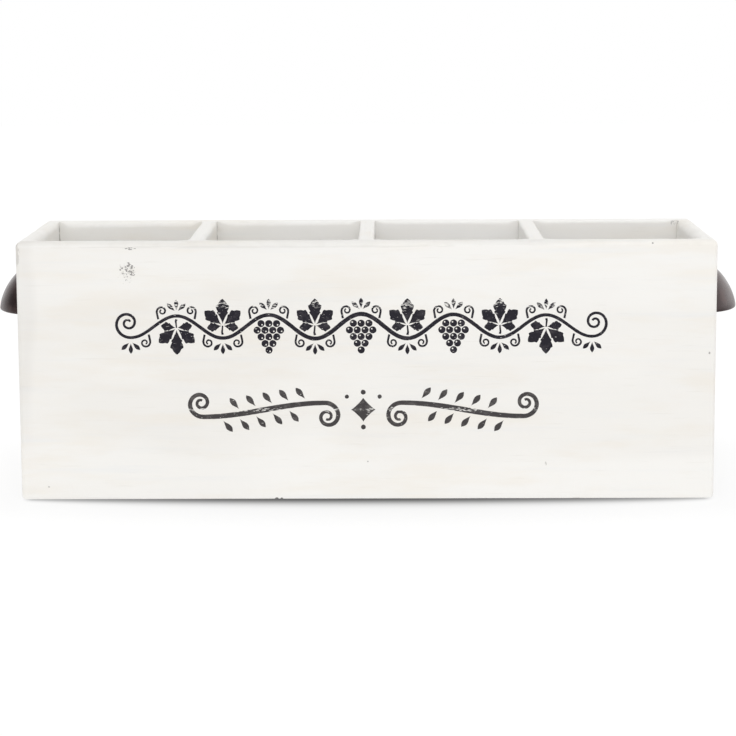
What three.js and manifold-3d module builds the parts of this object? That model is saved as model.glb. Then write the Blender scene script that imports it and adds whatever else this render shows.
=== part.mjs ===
// Wooden bottle rack: an open-topped box of painted boards with a row of equal bottle cells.
// Millimetres, +Z up. The origin is on the floor under the middle of the box, the long front faces -Y.

import * as THREE from "three";
import { mergeVertices } from "three/addons/utils/BufferGeometryUtils.js";
import Module from "manifold-3d";

const wasm = await Module();
wasm.setup();

// Box outside
const LENGTH = 400;
const DEPTH = 108;
const HEIGHT = 150;

// Boards
const WALL = 9;
const BASE = 9;
const DIVIDER = 9;
const DIVIDERS = ["left_divider", "middle_divider", "right_divider"];
const GROOVE_DEPTH = 3;

// Rounded and sanded edges
const CORNER_ROUND = 2.5;
const RIM_ROUND = 3;
const FOOT_ROUND = 0.6;
const FOOT_CORNER_ROUND = 2.3;
const MOUTH_ROUND = 2.5;
const END_MOUTH_ROUND = 4.5;
const DIVIDER_ROUND = 1.5;

// Gap left at every glued, nailed or screwed seat
const SEAT_GAP = 0.25;

// Cup handles: a pressed sheet dome, open at its foot, with an ear at each end
const HANDLE_SHEET = 1.2;
const HANDLE_REACH = 19.5;
const HANDLE_HALF_LENGTH = 31;
const HANDLE_RISE = 26.2;
const HANDLE_DROP = 46;
const HANDLE_FOOT_ARCH = 0.8;
const HANDLE_PLAN_POWER = 1.65;
const HANDLE_SIDE_POWER = 1.6;
const EAR_REACH = 9;
const EAR_WIDTH = 10;
const EAR_FOOT = 3;

// Handle screws
const SCREW_HEAD_RADIUS = 2.5;
const SCREW_HEAD_CROWN = 0.4;
const SCREW_CROWN_FLAT = 1.5;
const SCREW_SHANK_RADIUS = 1.2;
const SCREW_LENGTH = 7;
const SCREW_POINT = 2;
const SCREW_SLOT_WIDTH = 0.8;
const SCREW_SLOT_DEPTH = 0.6;

// Brads that nail the boards together, their heads sunk under filler
const BRAD_SHANK_RADIUS = 0.65;
const BRAD_HEAD_RADIUS = 1.1;
const BRAD_HEAD_HEIGHT = 0.8;
const BRAD_LENGTH = 15;
const BRAD_POINT = 1.5;
const BRAD_SUNK = 1.5;
const BRAD_END_MARGIN = 25;
const BRADS_PER_CORNER = 3;
const BRADS_PER_DIVIDER_END = 2;
const BASE_END_BRAD_SPREAD = 45;

// Roundness of the facets
const ARC_STEPS = 5;
const BRAD_SIDES = 6;
const SCREW_SIDES = 12;
const DOME_STEPS_AROUND = 48;
const DOME_STEPS_UP = 24;

// Points closer than this are one point
const SAME_POINT = 1e-4;

// Places worked out from the sizes above
const HALF_LENGTH = LENGTH / 2;
const HALF_DEPTH = DEPTH / 2;
const INNER_HALF_LENGTH = HALF_LENGTH - WALL;
const INNER_HALF_DEPTH = HALF_DEPTH - WALL;
const CELLS = DIVIDERS.length + 1;
const CELL_LENGTH = (2 * INNER_HALF_LENGTH - DIVIDERS.length * DIVIDER) / CELLS;
const CELL_PITCH = CELL_LENGTH + DIVIDER;
const HANDLE_FOOT_Z = HEIGHT - HANDLE_DROP;
const EAR_Z = EAR_FOOT + EAR_WIDTH / 2;
const SCREW_Y = HANDLE_HALF_LENGTH + EAR_REACH - EAR_WIDTH / 2;

const cellX = (cell) => -INNER_HALF_LENGTH + CELL_LENGTH / 2 + cell * CELL_PITCH;
const dividerX = (divider) => cellX(divider) + CELL_PITCH / 2;

const X = new THREE.Vector3(1, 0, 0);
const Y = new THREE.Vector3(0, 1, 0);
const Z = new THREE.Vector3(0, 0, 1);

const whitePaint = { color: 0xf0efea, roughness: 0.75, metalness: 0 };
const darkBronze = { color: 0x3d3431, roughness: 0.45, metalness: 0.8 };
const brightSteel = { color: 0xa8a8a6, roughness: 0.4, metalness: 1 };

// Booleans

function solidOf(geometry) {
  const bare = geometry.clone();
  bare.deleteAttribute("normal");
  bare.deleteAttribute("uv");
  const merged = mergeVertices(bare, SAME_POINT);
  return new wasm.Manifold(
    new wasm.Mesh({
      numProp: 3,
      vertProperties: new Float32Array(merged.attributes.position.array),
      triVerts: new Uint32Array(merged.index.array),
    }),
  );
}

function geometryOf(solid) {
  const { vertProperties, triVerts } = solid.getMesh();
  const geometry = new THREE.BufferGeometry();
  geometry.setAttribute("position", new THREE.BufferAttribute(vertProperties, 3));
  geometry.setIndex(new THREE.BufferAttribute(triVerts, 1));
  geometry.computeVertexNormals();
  return geometry;
}

const cutAll = (solid, cutters) => cutters.reduce((left, cutter) => left.subtract(cutter), solid);

// Outlines and the prisms made from them

// A rectangle whose corners are rounded one by one, going round from the low corner.
function roundedRectangle(low, high, [lowLow, highLow, highHigh, lowHigh]) {
  const shape = new THREE.Shape();
  shape.moveTo(low[0] + lowLow, low[1]);
  shape.lineTo(high[0] - highLow, low[1]);
  if (highLow) shape.absarc(high[0] - highLow, low[1] + highLow, highLow, -Math.PI / 2, 0);
  shape.lineTo(high[0], high[1] - highHigh);
  if (highHigh) shape.absarc(high[0] - highHigh, high[1] - highHigh, highHigh, 0, Math.PI / 2);
  shape.lineTo(low[0] + lowHigh, high[1]);
  if (lowHigh) shape.absarc(low[0] + lowHigh, high[1] - lowHigh, lowHigh, Math.PI / 2, Math.PI);
  shape.lineTo(low[0], low[1] + lowLow);
  if (lowLow) shape.absarc(low[0] + lowLow, low[1] + lowLow, lowLow, Math.PI, 1.5 * Math.PI);
  return shape;
}

const SQUARE = [0, 0, 0, 0];

// Along "x" an outline is drawn in (y, z), along "y" in (z, x) and along "z" in (x, y).
const PRISM_BASES = {
  x: new THREE.Matrix4().makeBasis(Y, Z, X),
  y: new THREE.Matrix4().makeBasis(Z, X, Y),
  z: new THREE.Matrix4().makeBasis(X, Y, Z),
};

function prism(axis, shape, from, to) {
  const geometry = new THREE.ExtrudeGeometry(shape, {
    depth: to - from,
    bevelEnabled: false,
    curveSegments: ARC_STEPS,
  });
  geometry.translate(0, 0, from);
  geometry.applyMatrix4(PRISM_BASES[axis]);
  return solidOf(geometry);
}

// A rectangular board between two corners, with its long edges rounded in plan, section and elevation.
function board(low, high, { plan = SQUARE, section = SQUARE, elevation = SQUARE }) {
  const inPlan = prism("z", roundedRectangle([low.x, low.y], [high.x, high.y], plan), low.z, high.z);
  const inSection = prism("x", roundedRectangle([low.y, low.z], [high.y, high.z], section), low.x, high.x);
  const inElevation = prism("y", roundedRectangle([low.z, low.x], [high.z, high.x], elevation), low.y, high.y);
  return inPlan.intersect(inSection).intersect(inElevation);
}

const plainBoard = (low, high) => board(low, high, {});

// What a round-over takes off a rim edge: the corner square less its quarter round.
// The edge runs along the axis, at `across` on the other level axis, with the wood on the `side` of it.
function roundOver(axis, radius, across, side, from, to) {
  const over = radius + SEAT_GAP;
  const inward = across + side * radius;
  const outward = across - side * SEAT_GAP;
  const spans = { from: Math.min(inward, outward), to: Math.max(inward, outward) };
  const top = HEIGHT + SEAT_GAP;
  const round = new THREE.Shape().absarc(0, 0, radius, 0, 2 * Math.PI);
  const low = axis === "x" ? [spans.from, top - over] : [top - over, spans.from];
  const high = axis === "x" ? [spans.to, top] : [top, spans.to];
  const corner = prism(axis, roundedRectangle(low, high, SQUARE), from, to);
  const rod = prism(axis, round, from - SEAT_GAP, to + SEAT_GAP);
  const place = axis === "x" ? [0, inward, HEIGHT - radius] : [inward, 0, HEIGHT - radius];
  return corner.subtract(rod.translate(place));
}

// Fasteners, each made once along +Y with its head at the origin and its point at +Y

function latheSolid(points, sides) {
  return solidOf(new THREE.LatheGeometry(points.map(([r, y]) => new THREE.Vector2(r, y)), sides));
}

function bradSolid(gap) {
  const shank = BRAD_SHANK_RADIUS + gap;
  const head = BRAD_HEAD_RADIUS + gap;
  return latheSolid(
    [
      [0, -gap],
      [head, -gap],
      [head, BRAD_HEAD_HEIGHT + gap],
      [shank, BRAD_HEAD_HEIGHT + gap],
      [shank, BRAD_LENGTH - BRAD_POINT + gap],
      [0, BRAD_LENGTH + gap],
    ],
    BRAD_SIDES,
  );
}

// The screw's origin is where its shank enters the wood: the head lies in the thickness of the sheet.
function screwSolid(gap) {
  const shank = SCREW_SHANK_RADIUS + gap;
  const head = SCREW_HEAD_RADIUS + gap;
  const top = -HANDLE_SHEET - SEAT_GAP;
  return latheSolid(
    [
      [0, top - SCREW_HEAD_CROWN - gap],
      [SCREW_CROWN_FLAT + gap, top - SCREW_HEAD_CROWN - gap],
      [head, top],
      [shank, 0],
      [shank, SCREW_LENGTH - SCREW_POINT + gap],
      [0, SCREW_LENGTH + gap],
    ],
    SCREW_SIDES,
  );
}

function slottedScrew() {
  const crown = HANDLE_SHEET + SEAT_GAP + SCREW_HEAD_CROWN;
  const slot = roundedRectangle(
    [-SCREW_SLOT_WIDTH / 2, -crown - SEAT_GAP],
    [SCREW_SLOT_WIDTH / 2, -crown + SCREW_SLOT_DEPTH],
    SQUARE,
  );
  const reach = SCREW_HEAD_RADIUS + SEAT_GAP;
  return screwSolid(0).subtract(prism("z", slot, -reach, reach));
}

const evenly = (count, from, to) =>
  Array.from({ length: count }, (_, i) => (count === 1 ? (from + to) / 2 : from + ((to - from) * i) / (count - 1)));

// Where every brad goes: its name, the middle of its head and the way it is driven.
function bradPlaces() {
  const places = [];
  const endX = INNER_HALF_LENGTH + WALL / 2;
  const sunkY = HALF_DEPTH - BRAD_SUNK;
  const sunkX = HALF_LENGTH - BRAD_SUNK;
  for (const [face, side] of [["front", -1], ["back", 1]]) {
    const way = Y.clone().multiplyScalar(-side);
    const drive = (name, x, z) => places.push({ name, head: new THREE.Vector3(x, side * sunkY, z), way });
    const cornerHeights = evenly(BRADS_PER_CORNER, BRAD_END_MARGIN, HEIGHT - BRAD_END_MARGIN);
    cornerHeights.forEach((z, i) => drive(`${face}_left_corner_brad_${i + 1}`, -endX, z));
    cornerHeights.forEach((z, i) => drive(`${face}_right_corner_brad_${i + 1}`, endX, z));
    const dividerHeights = evenly(BRADS_PER_DIVIDER_END, BASE + BRAD_END_MARGIN, HEIGHT - BRAD_END_MARGIN);
    DIVIDERS.forEach((divider, d) => {
      dividerHeights.forEach((z, i) => drive(`${divider}_${face}_brad_${i + 1}`, dividerX(d), z));
    });
    for (let cell = 0; cell < CELLS; cell += 1) {
      drive(`base_${face}_brad_${cell + 1}`, cellX(cell), BASE / 2);
    }
  }
  for (const [end, side] of [["left", -1], ["right", 1]]) {
    const way = X.clone().multiplyScalar(-side);
    evenly(2, -BASE_END_BRAD_SPREAD / 2, BASE_END_BRAD_SPREAD / 2).forEach((y, i) => {
      places.push({ name: `base_${end}_brad_${i + 1}`, head: new THREE.Vector3(side * sunkX, y, BASE / 2), way });
    });
  }
  return places;
}

// Where every handle screw goes: the point where it enters its end panel and the way it is driven.
function screwPlaces() {
  const places = [];
  for (const [end, side] of [["left", -1], ["right", 1]]) {
    for (const [name, y] of [["front", -SCREW_Y], ["back", SCREW_Y]]) {
      places.push({
        name: `${end}_handle_${name}_screw`,
        head: new THREE.Vector3(side * HALF_LENGTH, y, HANDLE_FOOT_Z + EAR_Z),
        way: X.clone().multiplyScalar(-side),
      });
    }
  }
  return places;
}

const turnTo = (way) => new THREE.Quaternion().setFromUnitVectors(Y, way);

function placed(solid, { head, way }) {
  const matrix = new THREE.Matrix4().compose(head, turnTo(way), new THREE.Vector3(1, 1, 1));
  return solid.transform(matrix.elements);
}

const brads = bradPlaces();
const screws = screwPlaces();
const bradHole = bradSolid(SEAT_GAP);
const screwHole = screwSolid(SEAT_GAP);
const holes = [
  ...brads.map((place) => placed(bradHole, place)),
  ...screws.map((place) => placed(screwHole, place)),
];

// Boards

// The long front panel: grooved inside for the dividers, its rim rounded over at each cell mouth.
// The back panel is the same board on the other side.
function longPanel(side) {
  const outer = side * HALF_DEPTH;
  const inner = side * INNER_HALF_DEPTH;
  const low = new THREE.Vector3(-HALF_LENGTH, Math.min(outer, inner), 0);
  const high = new THREE.Vector3(HALF_LENGTH, Math.max(outer, inner), HEIGHT);
  const onFront = side < 0;
  const solid = board(low, high, {
    plan: onFront ? [CORNER_ROUND, CORNER_ROUND, 0, 0] : [0, 0, CORNER_ROUND, CORNER_ROUND],
    section: onFront ? [FOOT_ROUND, 0, 0, RIM_ROUND] : [0, FOOT_ROUND, RIM_ROUND, 0],
    elevation: [FOOT_CORNER_ROUND, RIM_ROUND, RIM_ROUND, FOOT_CORNER_ROUND],
  });
  const grooveBottom = inner + side * (GROOVE_DEPTH + SEAT_GAP);
  const past = inner - side * SEAT_GAP;
  const grooveHalf = DIVIDER / 2 + SEAT_GAP;
  const grooves = DIVIDERS.map((_, d) =>
    plainBoard(
      new THREE.Vector3(dividerX(d) - grooveHalf, Math.min(grooveBottom, past), BASE),
      new THREE.Vector3(dividerX(d) + grooveHalf, Math.max(grooveBottom, past), HEIGHT + SEAT_GAP),
    ),
  );
  const mouths = Array.from({ length: CELLS }, (_, cell) =>
    roundOver("x", MOUTH_ROUND, inner, side, cellX(cell) - CELL_LENGTH / 2, cellX(cell) + CELL_LENGTH / 2),
  );
  return cutAll(solid, [...grooves, ...mouths, ...holes]);
}

// An end panel, butted between the two long panels.
function endPanel(side) {
  const outer = side * HALF_LENGTH;
  const inner = side * INNER_HALF_LENGTH;
  const halfWidth = INNER_HALF_DEPTH - SEAT_GAP;
  const low = new THREE.Vector3(Math.min(outer, inner), -halfWidth, 0);
  const high = new THREE.Vector3(Math.max(outer, inner), halfWidth, HEIGHT);
  const elevation = side < 0 ? [FOOT_CORNER_ROUND, RIM_ROUND, 0, 0] : [0, 0, RIM_ROUND, FOOT_CORNER_ROUND];
  const mouth = roundOver("y", END_MOUTH_ROUND, inner, side, -INNER_HALF_DEPTH, INNER_HALF_DEPTH);
  return cutAll(board(low, high, { elevation }), [mouth, ...holes]);
}

function basePanel() {
  const corner = new THREE.Vector3(INNER_HALF_LENGTH - SEAT_GAP, INNER_HALF_DEPTH - SEAT_GAP, 0);
  const solid = plainBoard(corner.clone().negate(), corner.clone().setZ(BASE));
  return cutAll(solid, holes);
}

// A divider, housed at both ends in the grooves and flush with the rim.
function dividerPanel(index) {
  const middle = dividerX(index);
  const half = new THREE.Vector3(DIVIDER / 2, INNER_HALF_DEPTH + GROOVE_DEPTH, 0);
  const solid = plainBoard(
    new THREE.Vector3(middle - half.x, -half.y, BASE + SEAT_GAP),
    new THREE.Vector3(middle + half.x, half.y, HEIGHT),
  );
  const edges = [-1, 1].map((side) =>
    roundOver("y", DIVIDER_ROUND, middle + side * half.x, -side, -INNER_HALF_DEPTH, INNER_HALF_DEPTH),
  );
  return cutAll(solid, [...edges, ...holes]);
}

// Cup handle, made with its back on the plane x = 0, bulging to +X, its foot at z = 0

const ovalSize = (a, b, power) => (Math.abs(a) ** power + Math.abs(b) ** power) ** (1 / power);

// A ball drawn out to a dome. Its level sections are slightly pointed ovals, and so is its slope
// straight out from the wall. Along the wall its outline is a half ellipse.
function dome(inset) {
  const geometry = new THREE.SphereGeometry(1, DOME_STEPS_AROUND, DOME_STEPS_UP);
  geometry.rotateX(Math.PI / 2);
  const position = geometry.attributes.position;
  for (let i = 0; i < position.count; i += 1) {
    const x = position.getX(i);
    const y = position.getY(i);
    const z = position.getZ(i);
    const level = Math.hypot(x, y);
    const plan = level > SAME_POINT ? level / ovalSize(x, y, HANDLE_PLAN_POWER) : 1;
    const outward = level > SAME_POINT ? (x / level) ** 2 : 1;
    const side = 1 / ovalSize(level, z, 2 - (2 - HANDLE_SIDE_POWER) * outward);
    position.setXYZ(i, x * plan * side, y * plan * side, z * side);
  }
  geometry.scale(HANDLE_REACH - inset, HANDLE_HALF_LENGTH - inset, HANDLE_RISE - inset);
  return solidOf(geometry);
}

// Everything above the gently arched foot, as an outline in (y, z).
function aboveFoot() {
  const reach = HANDLE_HALF_LENGTH + EAR_REACH + SEAT_GAP;
  const top = HANDLE_RISE + SEAT_GAP;
  const shape = new THREE.Shape();
  shape.moveTo(-reach, top);
  shape.lineTo(-reach, HANDLE_FOOT_ARCH);
  shape.quadraticCurveTo(0, -HANDLE_FOOT_ARCH, reach, HANDLE_FOOT_ARCH);
  shape.lineTo(reach, top);
  return prism("x", shape, 0, HANDLE_REACH + SEAT_GAP);
}

function cupHandle() {
  const earTip = HANDLE_HALF_LENGTH + EAR_REACH;
  const earRound = EAR_WIDTH / 2;
  const ears = roundedRectangle(
    [-earTip, EAR_Z - earRound],
    [earTip, EAR_Z + earRound],
    [earRound, earRound, earRound, earRound],
  );
  const outside = dome(0).add(prism("x", ears, 0, HANDLE_SHEET));
  const seat = (y) => placed(screwHole, { head: new THREE.Vector3(-SEAT_GAP, y, EAR_Z), way: X.clone().negate() });
  return cutAll(outside.intersect(aboveFoot()), [dome(HANDLE_SHEET), seat(-SCREW_Y), seat(SCREW_Y)]);
}

// Assembly

function piece(name, geometry, finish) {
  const mesh = new THREE.Mesh(geometry, new THREE.MeshStandardMaterial(finish));
  mesh.name = name;
  return mesh;
}

const rack = new THREE.Group();

rack.add(piece("front_panel", geometryOf(longPanel(-1)), whitePaint));
rack.add(piece("back_panel", geometryOf(longPanel(1)), whitePaint));
rack.add(piece("left_end_panel", geometryOf(endPanel(-1)), whitePaint));
rack.add(piece("right_end_panel", geometryOf(endPanel(1)), whitePaint));
rack.add(piece("base_panel", geometryOf(basePanel()), whitePaint));
DIVIDERS.forEach((name, index) => rack.add(piece(name, geometryOf(dividerPanel(index)), whitePaint)));

const handleGeometry = geometryOf(cupHandle());
for (const [end, side] of [["left", -1], ["right", 1]]) {
  const handle = piece(`${end}_cup_handle`, handleGeometry, darkBronze);
  handle.position.set(side * (HALF_LENGTH + SEAT_GAP), 0, HANDLE_FOOT_Z);
  handle.rotation.z = side < 0 ? Math.PI : 0;
  rack.add(handle);
}

function driveAll(places, geometry, finish) {
  for (const { name, head, way } of places) {
    const mesh = piece(name, geometry, finish);
    mesh.position.copy(head);
    mesh.quaternion.copy(turnTo(way));
    rack.add(mesh);
  }
}

driveAll(screws, geometryOf(slottedScrew()), darkBronze);
driveAll(brads, geometryOf(bradSolid(0)), brightSteel);

export default rack;
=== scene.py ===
"""Looks of the bottle rack: painted boards, cup handles, screws, brads and a stencilled front."""

import logging
import math
from dataclasses import dataclass, field
from enum import Enum
from typing import Any, Iterable, Sequence

import bmesh
import bpy
from bmesh.types import BMesh
from bpy.types import Material, Mesh, Node, NodeSocket, NodeTree, Object
from mathutils import Matrix, Vector, noise


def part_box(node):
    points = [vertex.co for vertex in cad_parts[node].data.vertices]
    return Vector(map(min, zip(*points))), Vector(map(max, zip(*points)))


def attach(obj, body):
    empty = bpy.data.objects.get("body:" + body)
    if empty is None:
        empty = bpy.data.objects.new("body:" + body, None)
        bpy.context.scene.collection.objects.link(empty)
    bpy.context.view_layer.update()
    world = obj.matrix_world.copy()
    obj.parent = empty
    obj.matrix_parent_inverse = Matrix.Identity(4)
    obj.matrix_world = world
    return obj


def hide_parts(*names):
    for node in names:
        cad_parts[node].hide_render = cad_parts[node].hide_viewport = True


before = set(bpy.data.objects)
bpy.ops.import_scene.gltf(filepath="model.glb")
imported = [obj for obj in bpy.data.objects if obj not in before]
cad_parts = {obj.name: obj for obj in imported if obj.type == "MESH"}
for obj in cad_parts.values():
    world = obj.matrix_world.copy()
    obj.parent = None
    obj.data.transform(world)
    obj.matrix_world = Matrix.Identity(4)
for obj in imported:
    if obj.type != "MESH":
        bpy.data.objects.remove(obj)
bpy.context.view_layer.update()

MM = 0.001
MERGED = 1e-4 * MM
TURN_STEPS = 32
BODY = "root"
log = logging.getLogger("bottle_rack")

Colour = tuple[float, float, float]
Size = tuple[float, float, float]
Flat = tuple[float, float]
Section = list[tuple[float, float, float, float]]
ORIGIN: Size = (0.0, 0.0, 0.0)


# Node trees

class NodeSheet:
    """A node tree with short ways to add and wire its nodes."""

    def __init__(self, tree: NodeTree) -> None:
        """Keeps the tree that the nodes go into."""
        self.tree = tree

    def add(self, kind: str, feeds: dict | None = None, **options: Any) -> Node:
        """Adds a node, sets its options and feeds its inputs.

        Args:
            kind: The node's type name.
            feeds: Values or output sockets, by the input's name or number.
            **options: The node's own options.

        Returns:
            The new node.
        """
        node = self.tree.nodes.new(kind)
        for option, value in options.items():
            setattr(node, option, value)
        for key, value in (feeds or {}).items():
            self.feed(node.inputs[key], value)
        return node

    def out(self, kind: str, feeds: dict | None = None, **options: Any) -> NodeSocket:
        """Adds a node in the same way and gives its first output."""
        return self.add(kind, feeds, **options).outputs[0]

    def feed(self, socket: NodeSocket, value: Any) -> None:
        """Links an output socket to an input, or sets the input to a plain value.

        Args:
            socket: The input.
            value: An output socket, or the plain value.
        """
        if isinstance(value, NodeSocket):
            self.tree.links.new(value, socket)
        else:
            socket.default_value = value

    def place(self, group: NodeTree, feeds: dict) -> Node:
        """Adds a node group, of this tree's own kind, with its own input values."""
        return self.add(self.tree.bl_idname.replace("Tree", "Group"), feeds, node_tree=group)

    def maths(self, operation: str, *values: Any) -> NodeSocket:
        """The result of a sum on one, two or three numbers."""
        return self.out("ShaderNodeMath", dict(enumerate(values)), operation=operation)

    def vector(self, operation: str, *values: Any) -> NodeSocket:
        """The result of a sum on one or two vectors."""
        return self.out("ShaderNodeVectorMath", dict(enumerate(values)), operation=operation)

    def scaled(self, vector: Any, factor: Any) -> NodeSocket:
        """A vector times a number."""
        return self.out("ShaderNodeVectorMath", {0: vector, "Scale": factor}, operation="SCALE")

    def triple(self, x: Any = 0.0, y: Any = 0.0, z: Any = 0.0) -> NodeSocket:
        """A vector of three numbers."""
        return self.out("ShaderNodeCombineXYZ", {"X": x, "Y": y, "Z": z})

    def stored(self, name: str) -> NodeSocket:
        """A number stored on the mesh's points, for a material."""
        return self.add("ShaderNodeAttribute", attribute_name=name).outputs["Fac"]

    def size_of(self, vector: Any) -> NodeSocket:
        """The length of a vector."""
        return self.add("ShaderNodeVectorMath", {0: vector}, operation="LENGTH").outputs["Value"]

    def spread(self, value: Any, start: Any, stop: Any) -> NodeSocket:
        """A smooth step that is 0 at start and 1 at stop."""
        feeds = {"Value": value, "From Min": start, "From Max": stop}
        return self.out("ShaderNodeMapRange", feeds, interpolation_type="SMOOTHSTEP")

    def noise(self, vector: Any, detail: float, roughness: float = 0.5) -> NodeSocket:
        """Cloudy noise about 0.5, with one cloud to a unit of the vector."""
        feeds = {"Vector": vector, "Scale": 1.0, "Detail": detail, "Roughness": roughness}
        return self.out("ShaderNodeTexNoise", feeds)

    def blend(self, factor: Any, first: Any, second: Any, share: Any = None) -> NodeSocket:
        """Two colours mixed by a factor, or by a share of it.

        Args:
            factor: The factor, 0 for the first colour.
            first: The first colour.
            second: The second colour.
            share: The share of the factor, all of it where none is given.

        Returns:
            The colour.
        """
        part = factor if share is None else self.maths("MULTIPLY", factor, share)
        node = self.add("ShaderNodeMix", {0: part}, data_type="RGBA")
        for number, colour in ((6, first), (7, second)):
            self.feed(node.inputs[number], rgba(colour) if isinstance(colour, tuple) else colour)
        return node.outputs[2]

    def part(self, place: Any, axis: str) -> NodeSocket:
        """The X, Y or Z part of a place."""
        return self.add("ShaderNodeSeparateXYZ", {0: place}).outputs[axis]


def rgba(colour: Colour) -> tuple[float, float, float, float]:
    """A colour with full cover."""
    return (*colour, 1.0)


class EffectGroup:
    """A shader node group with named inputs, and outputs that are masks or heights."""

    def __init__(self, name: str, inputs: dict[str, Any], outputs: Sequence[str]) -> None:
        """Makes the group and its sockets.

        Args:
            name: The group's name.
            inputs: Default values by input name, where a tuple makes a vector input.
            outputs: The names of the outputs.
        """
        self.tree = bpy.data.node_groups.new(name, "ShaderNodeTree")
        for label, default in inputs.items():
            kind = "NodeSocketVector" if isinstance(default, tuple) else "NodeSocketFloat"
            socket = self.tree.interface.new_socket(label, in_out="INPUT", socket_type=kind)
            socket.default_value = default
        for label in outputs:
            self.tree.interface.new_socket(label, in_out="OUTPUT", socket_type="NodeSocketFloat")
        self.sheet = NodeSheet(self.tree)
        self.given = self.sheet.add("NodeGroupInput").outputs
        self.result = self.sheet.add("NodeGroupOutput").inputs


class Effects:
    """The surface effects that several finishes share."""

    def __init__(self) -> None:
        """Builds every group once."""
        self.strokes = self.brush_strokes()
        self.mottle = self.soft_mottle()
        self.wear = self.edge_wear_and_joint_shade()
        self.mark = self.small_mark()

    def brush_strokes(self) -> NodeTree:
        """Long soft streaks along the vector's X axis.

        Returns:
            The group, with a tone and a height output.
        """
        inputs = {"Vector": ORIGIN, "Length": 60.0, "Width": 2.0}
        group = EffectGroup("brush_strokes", inputs, ("Tone", "Height"))
        sheet, given = group.sheet, group.given
        cell = sheet.triple(given["Length"], given["Width"], given["Width"])
        stretched = sheet.vector("DIVIDE", given["Vector"], cell)
        broad = sheet.noise(stretched, detail=3.0, roughness=0.55)
        finer = sheet.vector("MULTIPLY", stretched, (1.3, 3.4, 3.4))
        bristles = sheet.noise(finer, detail=2.0, roughness=0.6)
        both = sheet.maths("ADD", broad, bristles)
        sheet.feed(group.result["Tone"], broad)
        sheet.feed(group.result["Height"], sheet.maths("MULTIPLY", both, 0.5))
        return group.tree

    def soft_mottle(self) -> NodeTree:
        """Cloudy patches of one size.

        Returns:
            The group, with one value output about 0.5.
        """
        inputs = {"Vector": ORIGIN, "Patch": (10.0, 10.0, 10.0), "Contrast": 1.0}
        group = EffectGroup("soft_mottle", inputs, ("Value",))
        sheet, given = group.sheet, group.given
        cells = sheet.vector("DIVIDE", given["Vector"], given["Patch"])
        clouds = sheet.noise(cells, detail=4.0, roughness=0.55)
        centred = sheet.maths("SUBTRACT", clouds, 0.5)
        value = sheet.maths("MULTIPLY_ADD", centred, given["Contrast"], 0.5)
        sheet.feed(group.result["Value"], value)
        return group.tree

    def edge_wear_and_joint_shade(self) -> NodeTree:
        """Patchy wear where the edge input is high; fed a joint value instead, painted shade with some
        soiling.

        Returns:
            The group, with one mask output.
        """
        inputs = {"Edge": 0.0, "Vector": ORIGIN, "Patch": 4.0, "Amount": 0.5}
        group = EffectGroup("edge_wear_and_joint_shade", inputs, ("Mask",))
        sheet, given = group.sheet, group.given
        cell = sheet.triple(given["Patch"], given["Patch"], given["Patch"])
        patches = sheet.noise(sheet.vector("DIVIDE", given["Vector"], cell), detail=4.0, roughness=0.6)
        worn = sheet.maths("MULTIPLY_ADD", given["Edge"], given["Amount"], patches)
        worn = sheet.spread(worn, start=0.9, stop=1.12)
        near = sheet.spread(given["Edge"], start=0.05, stop=0.6)
        sheet.feed(group.result["Mask"], sheet.maths("MULTIPLY", worn, near))
        return group.tree

    def small_mark(self) -> NodeTree:
        """Specks or a solid dab inside one oval.

        Returns:
            The group, with one mask output.
        """
        unit = (1.0, 1.0, 1.0)
        inputs = {"Vector": ORIGIN, "Centre": ORIGIN, "Reach": unit, "Grain": unit}
        group = EffectGroup("small_mark", {**inputs, "Level": 0.5, "Softness": 0.06}, ("Mask",))
        sheet, given = group.sheet, group.given
        offset = sheet.vector("SUBTRACT", given["Vector"], given["Centre"])
        away = sheet.size_of(sheet.vector("DIVIDE", offset, given["Reach"]))
        inside = sheet.spread(away, start=1.0, stop=0.45)
        cells = sheet.vector("DIVIDE", given["Vector"], given["Grain"])
        specks = sheet.noise(cells, detail=2.0, roughness=0.6)
        rim_loss = 0.3
        fade = sheet.maths("MULTIPLY", sheet.maths("SUBTRACT", 1.0, inside), rim_loss)
        value = sheet.maths("SUBTRACT", specks, fade)
        full = sheet.maths("ADD", given["Level"], given["Softness"])
        specks = sheet.spread(value, given["Level"], full)
        within = sheet.spread(inside, start=0.0, stop=0.2)
        sheet.feed(group.result["Mask"], sheet.maths("MULTIPLY", specks, within))
        return group.tree

    def mottled(self, sheet: NodeSheet, place: Any, patch: Size, contrast: float) -> NodeSocket:
        """Cloudy patches of one size, about 0.5, in a material's sheet."""
        feeds = {"Vector": place, "Patch": patch, "Contrast": contrast}
        return sheet.place(self.mottle, feeds).outputs["Value"]

    def worn(self, sheet: NodeSheet, name: str, place: Any, patch: float, amount: float) -> NodeSocket:
        """A patchy mask in a material's sheet, where the number stored under a name is high: wear at
        edges, painted shade with some soiling at joints.
        """
        feeds = {"Edge": sheet.stored(name), "Vector": place, "Patch": patch, "Amount": amount}
        return sheet.place(self.wear, feeds).outputs["Mask"]


# Finishes

class Run(Enum):
    """The level axis that a board's length follows."""

    X = 0
    Y = 1

    @property
    def across(self) -> int:
        """The other level axis."""
        return 1 - self.value


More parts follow.
